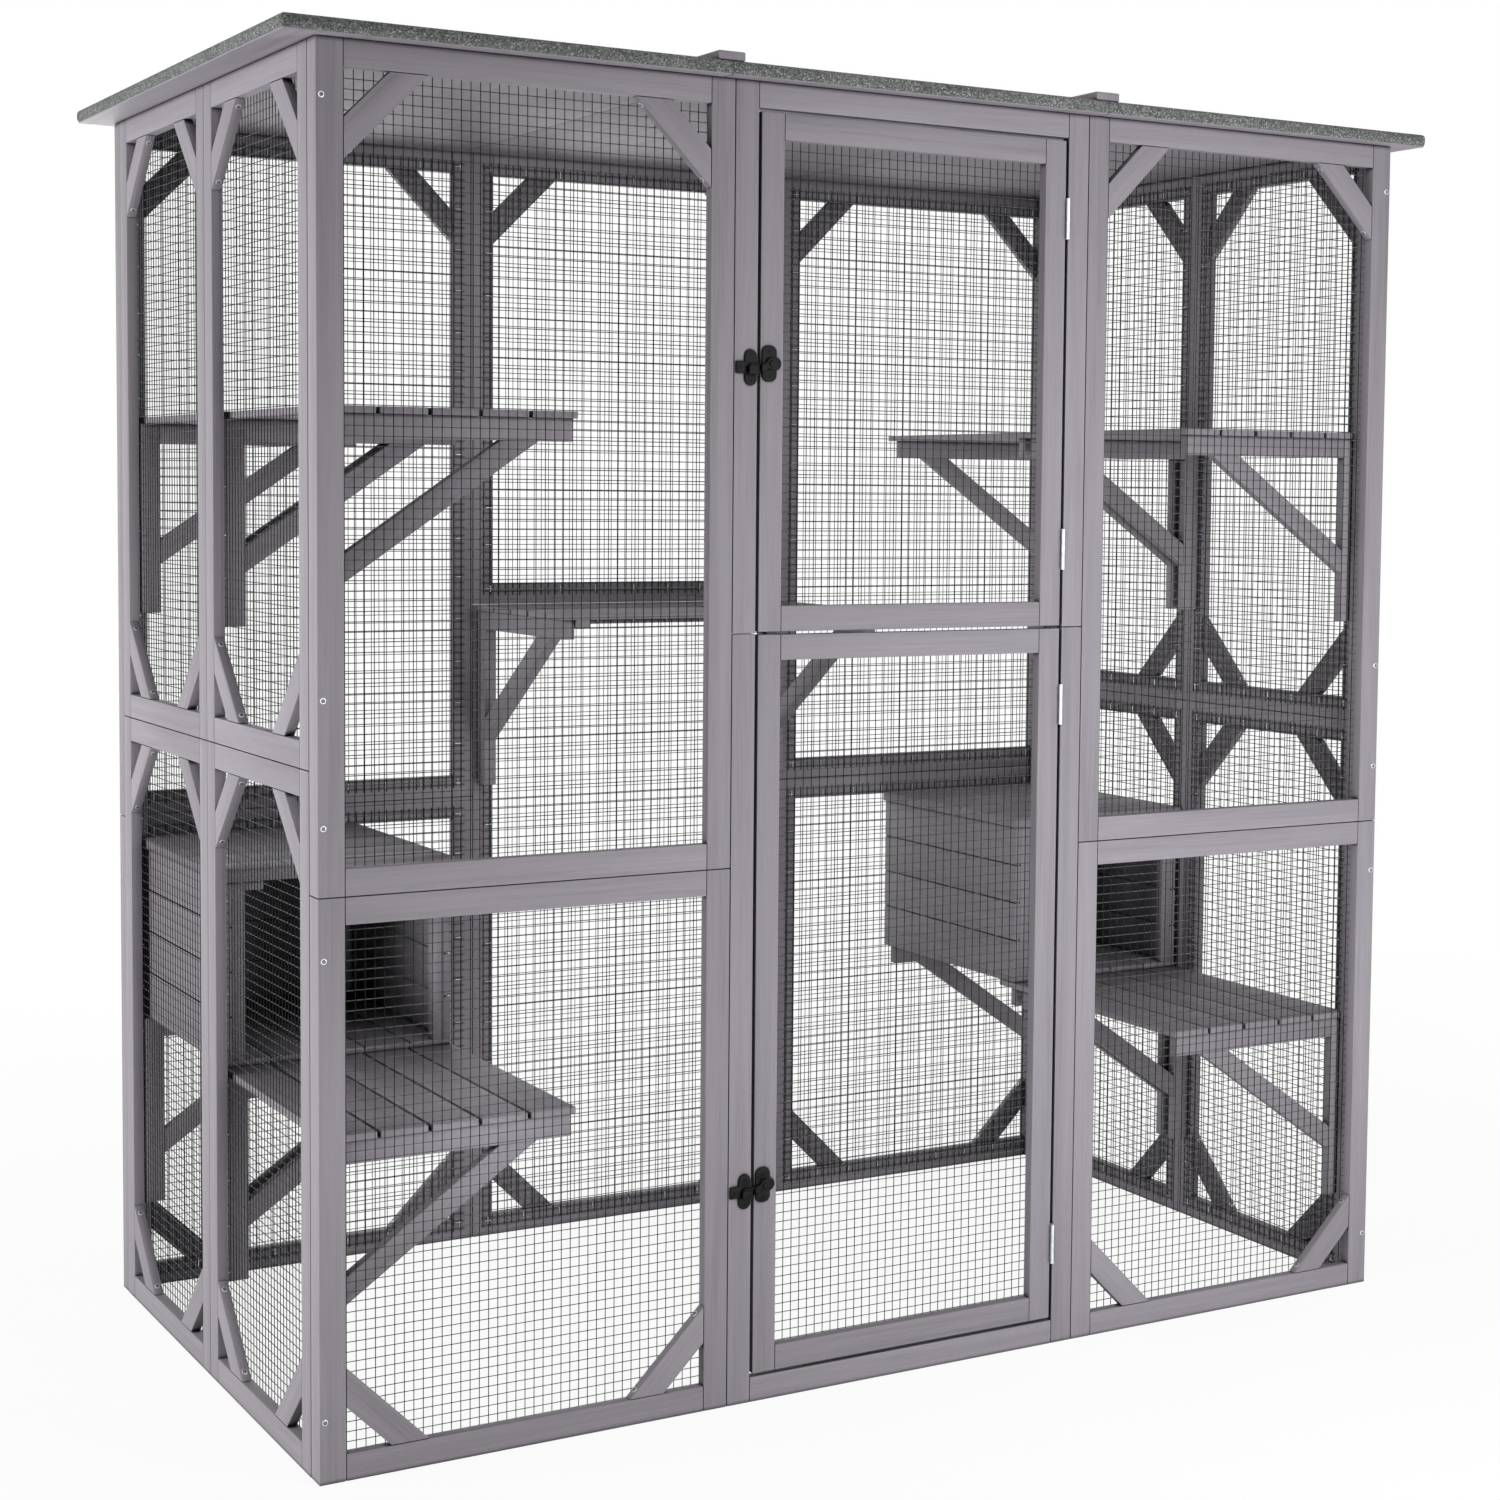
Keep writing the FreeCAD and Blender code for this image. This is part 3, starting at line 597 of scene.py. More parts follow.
    def wire(self, start: Vector, end: Vector, radius: float, place: Matrix = Matrix(), sides: int = 8,
             tone: float = 0.0) -> None:
        """Adds a straight wire.

        Args:
            start: Middle of one end.
            end: Middle of the other end.
            radius: Its radius.
            place: Matrix that puts it in place.
            sides: Facets round it.
            tone: Its shade from 0 to 1.
        """
        run = end - start
        turn = run.to_track_quat("Z", "Y").to_matrix().to_4x4()
        matrix = place @ Matrix.Translation((start + end) / 2) @ turn
        made = bmesh.ops.create_cone(self.mesh, cap_ends=True, segments=sides, radius1=radius, radius2=radius,
                                     depth=run.length, matrix=matrix)
        shading = self.mesh.verts.layers.float["tone"]
        for vert in made["verts"]:
            vert[shading] = tone

    @staticmethod
    def soften(part: bmesh.types.BMesh, edges: list, ease: float, segments: int, clamp: bool = True) -> None:
        """Rounds edges of a solid."""
        bmesh.ops.bevel(part, geom=edges, offset=ease, offset_type="OFFSET", segments=segments, profile=0.5,
                        affect="EDGES", clamp_overlap=clamp, material=-1)

    def mirror(self) -> None:
        """Turns a piece that was built on the left into its mirror image on the right."""
        bmesh.ops.scale(self.mesh, vec=(-1, 1, 1), verts=self.mesh.verts)
        bmesh.ops.reverse_faces(self.mesh, faces=self.mesh.faces)

    def finish(self, *nodes: str) -> None:
        """Turns the piece into an object on its body, at the origin, with its place in its mesh.

        Args:
            nodes: CAD nodes that it stands for.
        """
        bmesh.ops.scale(self.mesh, vec=(MM, MM, MM), verts=self.mesh.verts)
        data = bpy.data.meshes.new(self.name)
        self.mesh.to_mesh(data)
        self.mesh.free()
        data.shade_smooth()
        data.set_sharp_from_angle(angle=SMOOTH_ANGLE)
        data.materials.append(finish_of(self.slot))
        thing = add_object(self.name, data)
        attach(thing, self.body)
        if nodes:
            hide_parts(*nodes)
        log.info("%s: %d faces on %s", self.name, len(data.polygons), self.body)


@dataclass(frozen=True)
class Carcass:
    """Sizes that the sub-assemblies share."""

    width: float = 1710.0
    depth: float = 920.0
    height: float = 1780.0
    bays: int = 3
    bay_split: float = 736.0
    doorway_split: float = 1050.0
    side_split: float = 890.0
    member: float = 35.0
    thickness: float = 16.0
    post: float = 32.0
    wire_layer: float = 0.9
    door_gap: float = 4.0
    meeting_gap: float = 3.0

    @property
    def left(self) -> float:
        """Outer face of the left wall."""
        return -self.width / 2

    @property
    def front(self) -> float:
        """Outer face of the front wall."""
        return -self.depth / 2

    @property
    def bay(self) -> float:
        """Width of a bay."""
        return self.width / self.bays

    @property
    def side_panel(self) -> float:
        """Width of a side panel, between the posts."""
        return (self.depth - 2 * self.post) / 2

    @property
    def lining(self) -> float:
        """From a wall's outer face to the inner face of its mesh."""
        return self.thickness + 2 * self.wire_layer

    @property
    def door_left(self) -> float:
        """Left edge of the doors."""
        return -self.bay / 2 + self.member + self.door_gap

    @property
    def door_width(self) -> float:
        """Width of the doors."""
        return -2 * self.door_left

    def door_span(self, level: Level) -> Span:
        """Where a door starts and ends in height.

        Args:
            level: Which door it is.

        Returns:
            Its bottom and its top.
        """
        half = self.meeting_gap / 2
        if level is Level.UPPER:
            return self.doorway_split + half, self.height - self.member - self.door_gap
        return self.member + self.door_gap, self.doorway_split - half

    def place(self, wall: Wall, start: float, base: float) -> Matrix:
        """Matrix that takes a panel's own axes (along, inwards, up) to its wall.

        Args:
            wall: The wall.
            start: Where the panel's left end, seen from outside, lies along the wall.
            base: Height of its bottom.

        Returns:
            The matrix, in millimetres.
        """
        origins = {Wall.FRONT: (start, self.front, base), Wall.BACK: (start, -self.front, base),
                   Wall.RIGHT: (-self.left, start, base), Wall.LEFT: (self.left, start, base)}
        return Matrix.Translation(origins[wall]) @ Matrix.Rotation(math.radians(wall.value), 4, "Z")


CARCASS = Carcass()


@dataclass
class Fixings:
    """Zinc screws and staples of one body, gathered in one piece for each."""

    body: str
    # Radius and height of each ring of a screw head, from its rim inwards, and of its cross recess.
    rim: tuple = ((4.0, 0.0), (3.9, 0.4), (3.4, 0.7), (2.5, 0.6))
    recess: tuple = ((2.5, 0.6), (2.2, -1.5))
    facets: int = 16
    cross_within: float = 3.0
    cross_reach: float = 1.2
    staple_half: float = 4.6
    staple_height: float = 2.3
    staple_depth: float = 1.0
    staple_radius: float = 0.6
    staple_sides: int = 6

    def __post_init__(self) -> None:
        """Starts the two pieces."""
        self.screws, self.staples = (Piece(self.body + kind, Slot.ZINC, self.body) for kind in ("_screws", "_staples"))

    def screw(self, place: Matrix) -> None:
        """Adds a countersunk head whose cross recess is painted dark as painted shade.

        Args:
            place: Middle of the head, which faces along -y.
        """
        turned = place @ Matrix.Rotation(self.screws.random.uniform(0, math.pi), 4, "Y")
        # The recess takes tone 1, which paints it near black as painted shade.
        for profile, tone in ((self.rim, 0.0), (self.recess, 1.0)):
            part = self.screws.solid()
            loops = []
            for radius, height in profile:
                made = bmesh.ops.create_circle(part, cap_ends=False, segments=self.facets, radius=radius)
                for index, vert in enumerate(made["verts"]):
                    arm = radius < self.cross_within and index % (self.facets // 4) == 0
                    reach = self.cross_reach if arm else 1.0
                    vert.co = Vector((vert.co.x * reach, -height, vert.co.y * reach))
                loops.append(list({edge for vert in made["verts"] for edge in vert.link_edges}))
            for outer, inner in zip(loops, loops[1:]):
                bmesh.ops.bridge_loops(part, edges=outer + inner)
            if profile is self.recess:
                bmesh.ops.contextual_create(part, geom=loops[-1])
            bmesh.ops.recalc_face_normals(part, faces=part.faces)
            self.screws.join(part, turned, tone=tone)

    def staple(self, place: Matrix, level: bool) -> None:
        """Adds a staple over the mesh, on the inner face that lies at y = 0 of its place.

        Args:
            place: Middle of the staple. Inwards is +y.
            level: Whether its crown is level.
        """
        half = Vector((self.staple_half, 0, 0)) if level else Vector((0, 0, self.staple_half))
        crown = Vector((0, self.staple_height, 0))
        foot = Vector((0, -self.staple_depth, 0))
        for start, end in ((crown - half, crown + half), (crown - half, foot - half), (crown + half, foot + half)):
            self.staples.wire(start, end, self.staple_radius, place, self.staple_sides)

    def finish(self) -> None:
        """Makes the objects of the fixings that were added."""
        for piece in (self.screws, self.staples):
            if len(piece.mesh.verts):
                piece.finish()


@dataclass
class WireSheet:
    """A sheet of half-inch welded mesh, with its staples."""

    width: float
    height: float
    place: Matrix
    stapled: Sequence[Side]
    pitch: float = 12.7
    radius: float = 0.6
    weld: float = 0.5
    end_room: float = 2.0
    staple_step: float = 66.0
    staple_inset: float = 11.0
    staple_stray: float = 4.0

    def spaced(self, length: float) -> list[float]:
        """Places of wires across the sheet, with an equal short end beyond the first and last.

        Args:
            length: Size of the sheet across the wires.

        Returns:
            Where each wire lies.
        """
        count = int((length - self.end_room) // self.pitch)
        first = (length - count * self.pitch) / 2
        return [first + index * self.pitch for index in range(count + 1)]

    def build(self, piece: Piece) -> None:
        """Adds the upright wires and the level wires welded on to their inner sides.

        Args:
            piece: The piece that gets them.
        """
        outer, inner = self.radius, (3 - self.weld) * self.radius
        for x in self.spaced(self.width):
            piece.wire(Vector((x, outer, 0)), Vector((x, outer, self.height)), self.radius, self.place)
        for z in self.spaced(self.height):
            # Level wires take tone 1, which paints them paler as painted light.
            piece.wire(Vector((0, inner, z)), Vector((self.width, inner, z)), self.radius, self.place, tone=1.0)

    def fasten(self, fixings: Fixings) -> None:
        """Staples the edges of the sheet to the wood behind.

        Args:
            fixings: Where the staples go.
        """
        inset = self.staple_inset
        lines = {Side.LEFT: inset, Side.BOTTOM: inset, Side.RIGHT: self.width - inset, Side.TOP: self.height - inset}
        for side in self.stapled:
            upright = side in (Side.LEFT, Side.RIGHT)
            length = (self.height if upright else self.width) - 2 * inset
            count = max(2, round(length / self.staple_step))
            for index in range(count + 1):
                stray = fixings.staples.random.uniform(-self.staple_stray, self.staple_stray)
                along = inset + length * index / count + stray
                spot = (lines[side], 0, along) if upright else (along, 0, lines[side])
                fixings.staple(self.place @ Matrix.Translation(spot), upright)


@dataclass
class Panel:
    """One wall panel, doorway frame or door: stiles, rails, corner braces, screws and mesh."""

    node: str
    wall: Wall
    start: float
    base: float
    width: float
    height: float
    post: Optional[Side] = None
    rails: tuple = (Side.BOTTOM, Side.TOP)
    braces: tuple = ()
    body: str = ENCLOSURE
    brace_thickness: float = 14.0
    brace_outer: float = 60.0
    brace_inner: float = 110.0
    mesh_lap: float = 20.0
    screw_inset: float = 15.0
    slack: float = 0.5

    @property
    def place(self) -> Matrix:
        """Where the panel stands."""
        return CARCASS.place(self.wall, self.start, self.base)

    def build(self, fixings: Fixings) -> None:
        """Makes the wooden members, one of them a corner post, and the screws through the braces.

        Args:
            fixings: Where the screws go.
        """
        member, slack = CARCASS.member, self.slack
        piece = Piece(self.node + "_wood", Slot.WOOD, self.body)
        right = self.width - member
        tall = (slack, self.height - slack)
        for side, x in ((Side.LEFT, (slack, member)), (Side.RIGHT, (right, self.width - slack))):
            depth = CARCASS.post if side is self.post else CARCASS.thickness
            piece.board(x, (0, depth), tall, Z, self.place)
        levels = {Side.BOTTOM: (slack, member), Side.TOP: (self.height - member, self.height - slack)}
        for rail in self.rails:
            piece.board((member + slack, right - slack), (0, CARCASS.thickness), levels[rail], X, self.place)
        for end in self.braces:
            for side in (Side.LEFT, Side.RIGHT):
                self.brace(piece, fixings, side, end)
        piece.finish(self.node)

    def brace(self, piece: Piece, fixings: Fixings, side: Side, end: Side) -> None:
        """Adds one mitred brace, with a screw through its inner edge near each end.

        Args:
            piece: The piece that gets it.
            fixings: Where the screws go.
            side: The stile that it meets.
            end: The rail that it meets.
        """
        member = CARCASS.member
        at_right, at_top = side is Side.RIGHT, end is Side.TOP
        along = -1 if at_right else 1
        up = -1 if at_top else 1
        corner = Vector((self.width - member if at_right else member, 0, self.height - member if at_top else member))
        middle = (self.brace_outer + self.brace_inner) / 2
        high = corner + Vector((0, 0, up * middle))
        low = corner + Vector((along * middle, 0, 0))
        width = (self.brace_inner - self.brace_outer) / math.sqrt(2)
        sawn = corner + Vector((along * self.slack, 0, up * self.slack))
        cuts = ((sawn, Vector((-along, 0, 0))), (sawn, Vector((0, 0, -up))))
        piece.strut(high, low, width, (0, self.brace_thickness), cuts, self.place)
        edge = Vector((along, 0, up)).normalized()
        facing = (-Vector((0, 1, 0))).rotation_difference(edge).to_matrix().to_4x4()
        tip = corner + Vector((0, self.brace_thickness / 2, up * self.brace_inner))
        slope = Vector((along, 0, -up)).normalized()
        length = self.brace_inner * math.sqrt(2)
        for along_edge in (self.screw_inset, length - self.screw_inset):
            fixings.screw(self.place @ Matrix.Translation(tip + slope * along_edge) @ facing)

    def sheet(self) -> WireSheet:
        """The mesh on the panel's inner face, which laps on to the wood but not on to a post.

        Returns:
            The sheet, not built yet.
        """
        edge = CARCASS.member - self.mesh_lap
        left, right = (CARCASS.member if self.post is side else edge for side in (Side.LEFT, Side.RIGHT))
        place = self.place @ Matrix.Translation((left, CARCASS.thickness, edge))
        stapled = [side for side in Side if side is not self.post]
        return WireSheet(self.width - left - right, self.height - 2 * edge, place, stapled)


@dataclass
class Walls:
    """All wall panels, in the order of the walls."""

    fixings: Fixings
    post_screws: tuple = (80.0, 658.0, 822.0, 979.0, 1710.0)
    post_screw_inset: float = 7.5

    def build(self) -> None:
        """Makes the panels, their mesh and fixings, wall by wall."""
        self.front()
        self.back()
        self.sides()
        self.screw_posts()
        self.fixings.finish()

    @staticmethod
    def levels(split: float) -> tuple[tuple[Level, float, float], ...]:
        """Level, base and height of the two panels of a wall split at a height."""
        return (Level.LOWER, 0.0, split), (Level.UPPER, split, CARCASS.height - split)

    def add(self, panel: Panel, mesh: Piece) -> None:
        """Makes a panel and its mesh.

        Args:
            panel: The panel.
            mesh: The piece that gets the wires.
        """
        panel.build(self.fixings)
        sheet = panel.sheet()
        sheet.build(mesh)
        sheet.fasten(self.fixings)

    def front(self) -> None:
        """The two braced bays and the frame of the doorway."""
        bay = CARCASS.bay
        mesh = Piece("front_wire", Slot.WIRE)
        for side, start in ((Side.LEFT, CARCASS.left), (Side.RIGHT, -CARCASS.left - bay)):
            for level, base, height in self.levels(CARCASS.bay_split):
                node = f"front_{side.value}_{level.value}_panel"
                self.add(Panel(node, Wall.FRONT, start, base, bay, height, side, braces=(level.end,)), mesh)
        mesh.finish("front_mesh")
        for level, base, height in self.levels(CARCASS.doorway_split):
            node = f"doorway_{level.value}_frame"
            Panel(node, Wall.FRONT, -bay / 2, base, bay, height, rails=(level.end,)).build(self.fixings)

    def back(self) -> None:
        """The three bays of the back wall. Seen from behind, the right bay is on the left."""
        mesh = Piece("back_wire", Slot.WIRE)
        bays = (("left", CARCASS.left + CARCASS.bay, CARCASS.bay_split, Side.RIGHT),
                ("middle", CARCASS.bay / 2, CARCASS.doorway_split, None),
                ("right", -CARCASS.left, CARCASS.bay_split, Side.LEFT))
        for bay, start, split, post in bays:
            for level, base, height in self.levels(split):
                node = f"back_{bay}_{level.value}_panel"
                self.add(Panel(node, Wall.BACK, start, base, CARCASS.bay, height, post, braces=(level.end,)), mesh)
        mesh.finish("back_mesh")

    def sides(self) -> None:
        """Two by two panels on each side wall, between the posts."""
        width = CARCASS.side_panel
        for side, wall in ((Side.LEFT, Wall.LEFT), (Side.RIGHT, Wall.RIGHT)):
            mesh = Piece(f"{side.value}_wire", Slot.WIRE)
            for index, name in enumerate(("front", "back")):
                near = CARCASS.front + CARCASS.post + index * width
                start = near + width if wall is Wall.LEFT else near
                for level, base, height in self.levels(CARCASS.side_split):
                    node = f"{side.value}_{name}_{level.value}_panel"
                    self.add(Panel(node, wall, start, base, width, height, braces=(Side.BOTTOM, Side.TOP)), mesh)
            mesh.finish(f"{side.value}_mesh")

    def screw_posts(self) -> None:
        """Screws through the front and back faces of the corner posts, into the side panels."""
        x = CARCASS.left + self.post_screw_inset
        for wall in (Wall.FRONT, Wall.BACK):
            for spot in (x, -x):
                for height in self.post_screws:
                    self.fixings.screw(CARCASS.place(wall, spot, height))


@dataclass
class Door:
    """A framed mesh door, hung on its right edge."""

    level: Level

    def build(self) -> None:
        """Makes the frame, the mesh and its staples."""
        bottom, top = CARCASS.door_span(self.level)
        name = f"{self.level.value}_door"
        fixings = Fixings(name)
        panel = Panel(name + "_frame", Wall.FRONT, CARCASS.door_left, bottom, CARCASS.door_width, top - bottom,
                      body=name)
        panel.build(fixings)
        mesh = Piece(name + "_wire", Slot.WIRE, name)
        sheet = panel.sheet()
        sheet.build(mesh)
        sheet.fasten(fixings)
        mesh.finish(name + "_mesh")
        fixings.finish()


@dataclass
class Latch:
    """A flip latch: keeper on the frame, plate and rivet on the door, and the lever between them."""

    level: Level
    upper_rise: float = 358.0
    lower_rise: float = 261.0
    pivot_inset: float = 15.0
    plate: float = 3.0
    plate_margin: float = 2.0
    lobe: float = 9.0
    spread: float = 15.0
    side_reach: float = 7.0
    drop: float = 6.0
    clearance: float = 0.3
    step: float = 0.04
    ease: float = 0.8
    facets: int = 3
    # Screw heads, sunk for the lever to pass over them: radius, height and rounding of head and recess.
    head: tuple = (3.4, 0.18, 0.05)
    head_sink: float = 0.2
    pit: tuple = (1.9, 0.22, 0.03)
    screw_past: float = 1.5
    tab_screw: float = 5.5
    # Pivot rivet: radius, height past the lever and rounding of its shank and its head.
    shank: tuple = (2.5, 0.4, 0.2)
    rivet: tuple = (4.5, 1.9, 0.9)
    lever: float = 4.0
    lever_width: float = 10.0
    hub: float = 8.0
    crank_share: float = 0.93
    bar_lap: float = 1.0
    finger: Span = (3.0, 5.0)
    finger_ease: float = 1.2
    root: float = 0.5
    nose_past_gap: float = 14.0
    lip: float = 2.5
    lip_cover: float = 8.0
    floor_height: float = 4.0
    floor_ease: float = 0.6
    end_room: float = 3.0
    gap_margin: float = 2.0
    tab_height: float = 16.0

    @property
    def name(self) -> str:
        """What its nodes' names start with."""
        return f"{self.level.value}_latch"

    @property
    def place(self) -> Matrix:
        """The pivot, on the face of the door.

        Returns:
            The matrix that takes the latch there.
        """
        rise = self.upper_rise if self.level is Level.UPPER else self.lower_rise
        height = CARCASS.door_span(self.level)[0] + rise
        return Matrix.Translation((CARCASS.door_left + self.pivot_inset, CARCASS.front, height))

    @property
    def frame_edge(self) -> float:
        """Edge of the frame's stile, from the pivot."""
        return -self.pivot_inset - CARCASS.door_gap

    @property
    def nose(self) -> float:
        """Tip of the lever, from the pivot."""
        return self.frame_edge - self.nose_past_gap

    @property
    def lever_faces(self) -> Span:
        """Front and back of the lever."""
        back = -self.plate - self.clearance
        return back - self.lever, back

    @property
    def lever_level(self) -> Span:
        """Bottom and top of the lever's bar, below the pivot."""
        return -self.lever_width / 2 - self.drop, self.lever_width / 2 - self.drop

    def build(self) -> None:
        """Makes the three pieces and their screws."""
        self.door_plate()
        self.keeper()
        self.swing_lever()

    def bar(self, piece: Piece, x: Span, y: Span, z: Span, ease: Optional[float] = None) -> None:
        """Adds a rounded bar or plate to a piece of the latch."""
        piece.board(x, y, z, X, self.place, self.ease if ease is None else ease, self.facets)

    def screw_head(self, piece: Piece, x: float, z: float) -> None:
        """Adds a black screw head with a recess painted darker as painted shade.

        Args:
            piece: The piece that gets it.
            x: Its middle in x, from the pivot.
            z: Its middle in z, from the pivot.
        """
        front = -self.plate
        radius, height, ease = self.head
        piece.disc((x, z), radius, (front - height, front + self.head_sink), self.place, ease, 24)
        radius, height, ease = self.pit
        # The recess disc takes the tone that paints it near black as painted shade.
        piece.disc((x, z), radius, (front - height, front), self.place, ease, 16, PIT_SHADE_TONE)

    def door_plate(self) -> None:
        """Plate with three lobes, two screws and the pivot rivet."""
        piece = Piece(self.name + "_plate_cast", Slot.BLACK, f"{self.level.value}_door")
        left = -self.pivot_inset + self.plate_margin
        self.bar(piece, (left, self.lobe), (-self.plate, 0.0), (-self.spread, self.spread))
        spots = [(x, z) for x in (left + self.lobe, 0.0) for z in (-self.spread, self.spread)]
        for index, spot in enumerate(spots + [(self.side_reach, 0.0)]):
            piece.disc(spot, self.lobe, (-self.plate - (index // 2 + 1) * self.step, 0.0), self.place)
        for z in (self.spread + self.screw_past, -self.spread - self.screw_past):
            self.screw_head(piece, (left + self.lobe) / 2, z)
        front = self.lever_faces[0]
        radius, height, ease = self.shank
        piece.disc((0, 0), radius, (front - height, 0.0), self.place, ease, 24)
        radius, height, ease = self.rivet
        piece.disc((0, 0), radius, (front - height, front - self.clearance), self.place, ease, 32)
        piece.finish(self.name + "_plate")

    def keeper(self) -> None:
        """Plate with two lobes and a tab, and the cradle that takes the lever's nose."""
        piece = Piece(self.name + "_keeper_cast", Slot.BLACK)
        right = self.frame_edge - self.gap_margin
        left = self.nose - self.end_room
        middle = right - self.lobe
        top = self.spread - self.drop
        bottom = -self.spread - self.drop
        self.bar(piece, (middle - self.lobe, right), (-self.plate, 0.0), (bottom, top))
        for z in (top, bottom):
            piece.disc((middle, z), self.lobe, (-self.plate - self.step, 0.0), self.place)
            self.screw_head(piece, middle, z + math.copysign(self.screw_past, z))
        far = self.frame_edge - CARCASS.member + self.plate_margin
        half = self.tab_height / 2
        self.bar(piece, (far, middle), (-self.plate - 2 * self.step, 0.0), (-half - self.drop, half - self.drop))
        self.screw_head(piece, far + self.tab_screw, -self.drop)
        lip_back = self.lever_faces[0] - self.clearance
        floor_top = self.lever_level[0] - self.clearance
        floor_bottom = floor_top - self.floor_height
        self.bar(piece, (left, right), (lip_back - self.root, -self.plate + self.root), (floor_bottom, floor_top),
                 self.floor_ease)
        self.bar(piece, (left, right), (lip_back - self.lip, lip_back), (floor_bottom, floor_top + self.lip_cover))
        piece.finish(self.name + "_keeper")

    def swing_lever(self) -> None:
        """Hub with a cranked bar and a finger tab."""
        piece = Piece(self.name + "_lever_cast", Slot.BLACK, self.name + "_lever")
        front, back = self.lever_faces
        edge = -self.pivot_inset
        piece.disc((0, 0), self.hub, (front, back), self.place)
        self.bar(piece, (self.nose, edge + self.bar_lap), (front + self.step, back), self.lever_level)
        cut, pivot = Vector((edge, 0, -self.drop)), Vector((0, 0, 0))
        cuts = ((cut, Vector((-1, 0, 0))), (pivot, Vector((1, 0, 0))))
        piece.strut(cut, pivot, self.lever_width * self.crank_share, (front + 2 * self.step, back), cuts, self.place,
                    self.ease)
        half, height = self.finger
        self.bar(piece, (edge - half, edge + half), (front - height, front + self.root), self.lever_level,
                 self.finger_ease)
        piece.finish(self.name + "_lever")


@dataclass
class Hinges:
    """Butt hinges, whose CAD solids stay and get a zinc finish."""

    parts: tuple = ("frame_leaves", "door_leaves", "pins")

    def build(self) -> None:
        """Gives the hinge nodes their material."""
        for level in Level:
            for part in self.parts:
                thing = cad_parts[f"{level.value}_hinge_{part}"]
                thing.data.materials.clear()
                thing.data.materials.append(finish_of(Slot.ZINC))
                log.info("%s: zinc finish", thing.name)


@dataclass
class Roof:
    """Three plain boards under felt, with battens over the seams."""

    side_overhang: float = 50.0
    end_overhang: float = 25.0
    panels: int = 3
    board: float = 16.0
    board_slack: float = 0.5
    felt: float = 3.0
    felt_hem: float = 0.6
    seam: float = 1.0
    batten_width: float = 40.0
    batten_height: float = 12.0
    batten_setback: float = 4.0
    batten_ease: float = 2.0
    fold_radius: float = 6.5
    fold_segments: int = 5

    @property
    def width(self) -> float:
        """Whole width of the roof."""
        return CARCASS.width + 2 * self.side_overhang

    @property
    def depth(self) -> float:
        """Whole depth of the roof."""
        return CARCASS.depth + 2 * self.end_overhang

    def build(self) -> None:
        """Makes the boards, the felt sheets and the battens."""
        pitch = self.width / self.panels
        base = CARCASS.height
        top = base + self.board + self.felt
        half = self.depth / 2
        felt = Piece("roof_felt_sheets", Slot.FELT)
        for index, name in enumerate(("left", "middle", "right")):
            left = -self.width / 2 + index * pitch
            right = left + pitch
            inner_left = left + (self.felt if name == "left" else self.seam / 2)
            inner_right = right - (self.felt if name == "right" else self.seam / 2)
            wood = Piece(f"roof_{name}_boards", Slot.WOOD)
            wood.board((inner_left, inner_right), (self.felt - half, half - self.felt),
                       (base, base + self.board - self.board_slack), Y)
            wood.finish(f"roof_{name}_panel")
            outer = (left if name == "left" else inner_left, right if name == "right" else inner_right)
            self.sheet(felt, outer, (-half, half), (base + self.felt_hem, top))
        felt.finish("roof_felt")
        battens = Piece("roof_seam_battens", Slot.WOOD)
        deep = half - self.batten_setback
        for seam in range(1, self.panels):
            middle = -self.width / 2 + seam * pitch
            battens.board((middle - self.batten_width / 2, middle + self.batten_width / 2), (-deep, deep),
                          (top, top + self.batten_height), Y, ease=self.batten_ease)
        battens.finish("roof_battens")

    def sheet(self, piece: Piece, x: Span, y: Span, z: Span) -> None:
        """Adds one felt sheet, folded round the outer edges of its panel in a soft curve.

        Args:
            piece: The piece that gets it.
            x: Its lowest and highest x.
            y: The same in y.
            z: The same in z.
        """
        part = piece.block(x, y, z)
        folds = [edge for edge in part.edges if abs(edge.verts[0].co.x - edge.verts[1].co.x) > 1]
        outside = self.width / 2 - 1
        folds += [edge for edge in part.edges if all(abs(vert.co.x) > outside for vert in edge.verts)]
        piece.soften(part, list(set(folds)), self.fold_radius, self.fold_segments)
        piece.join(part)


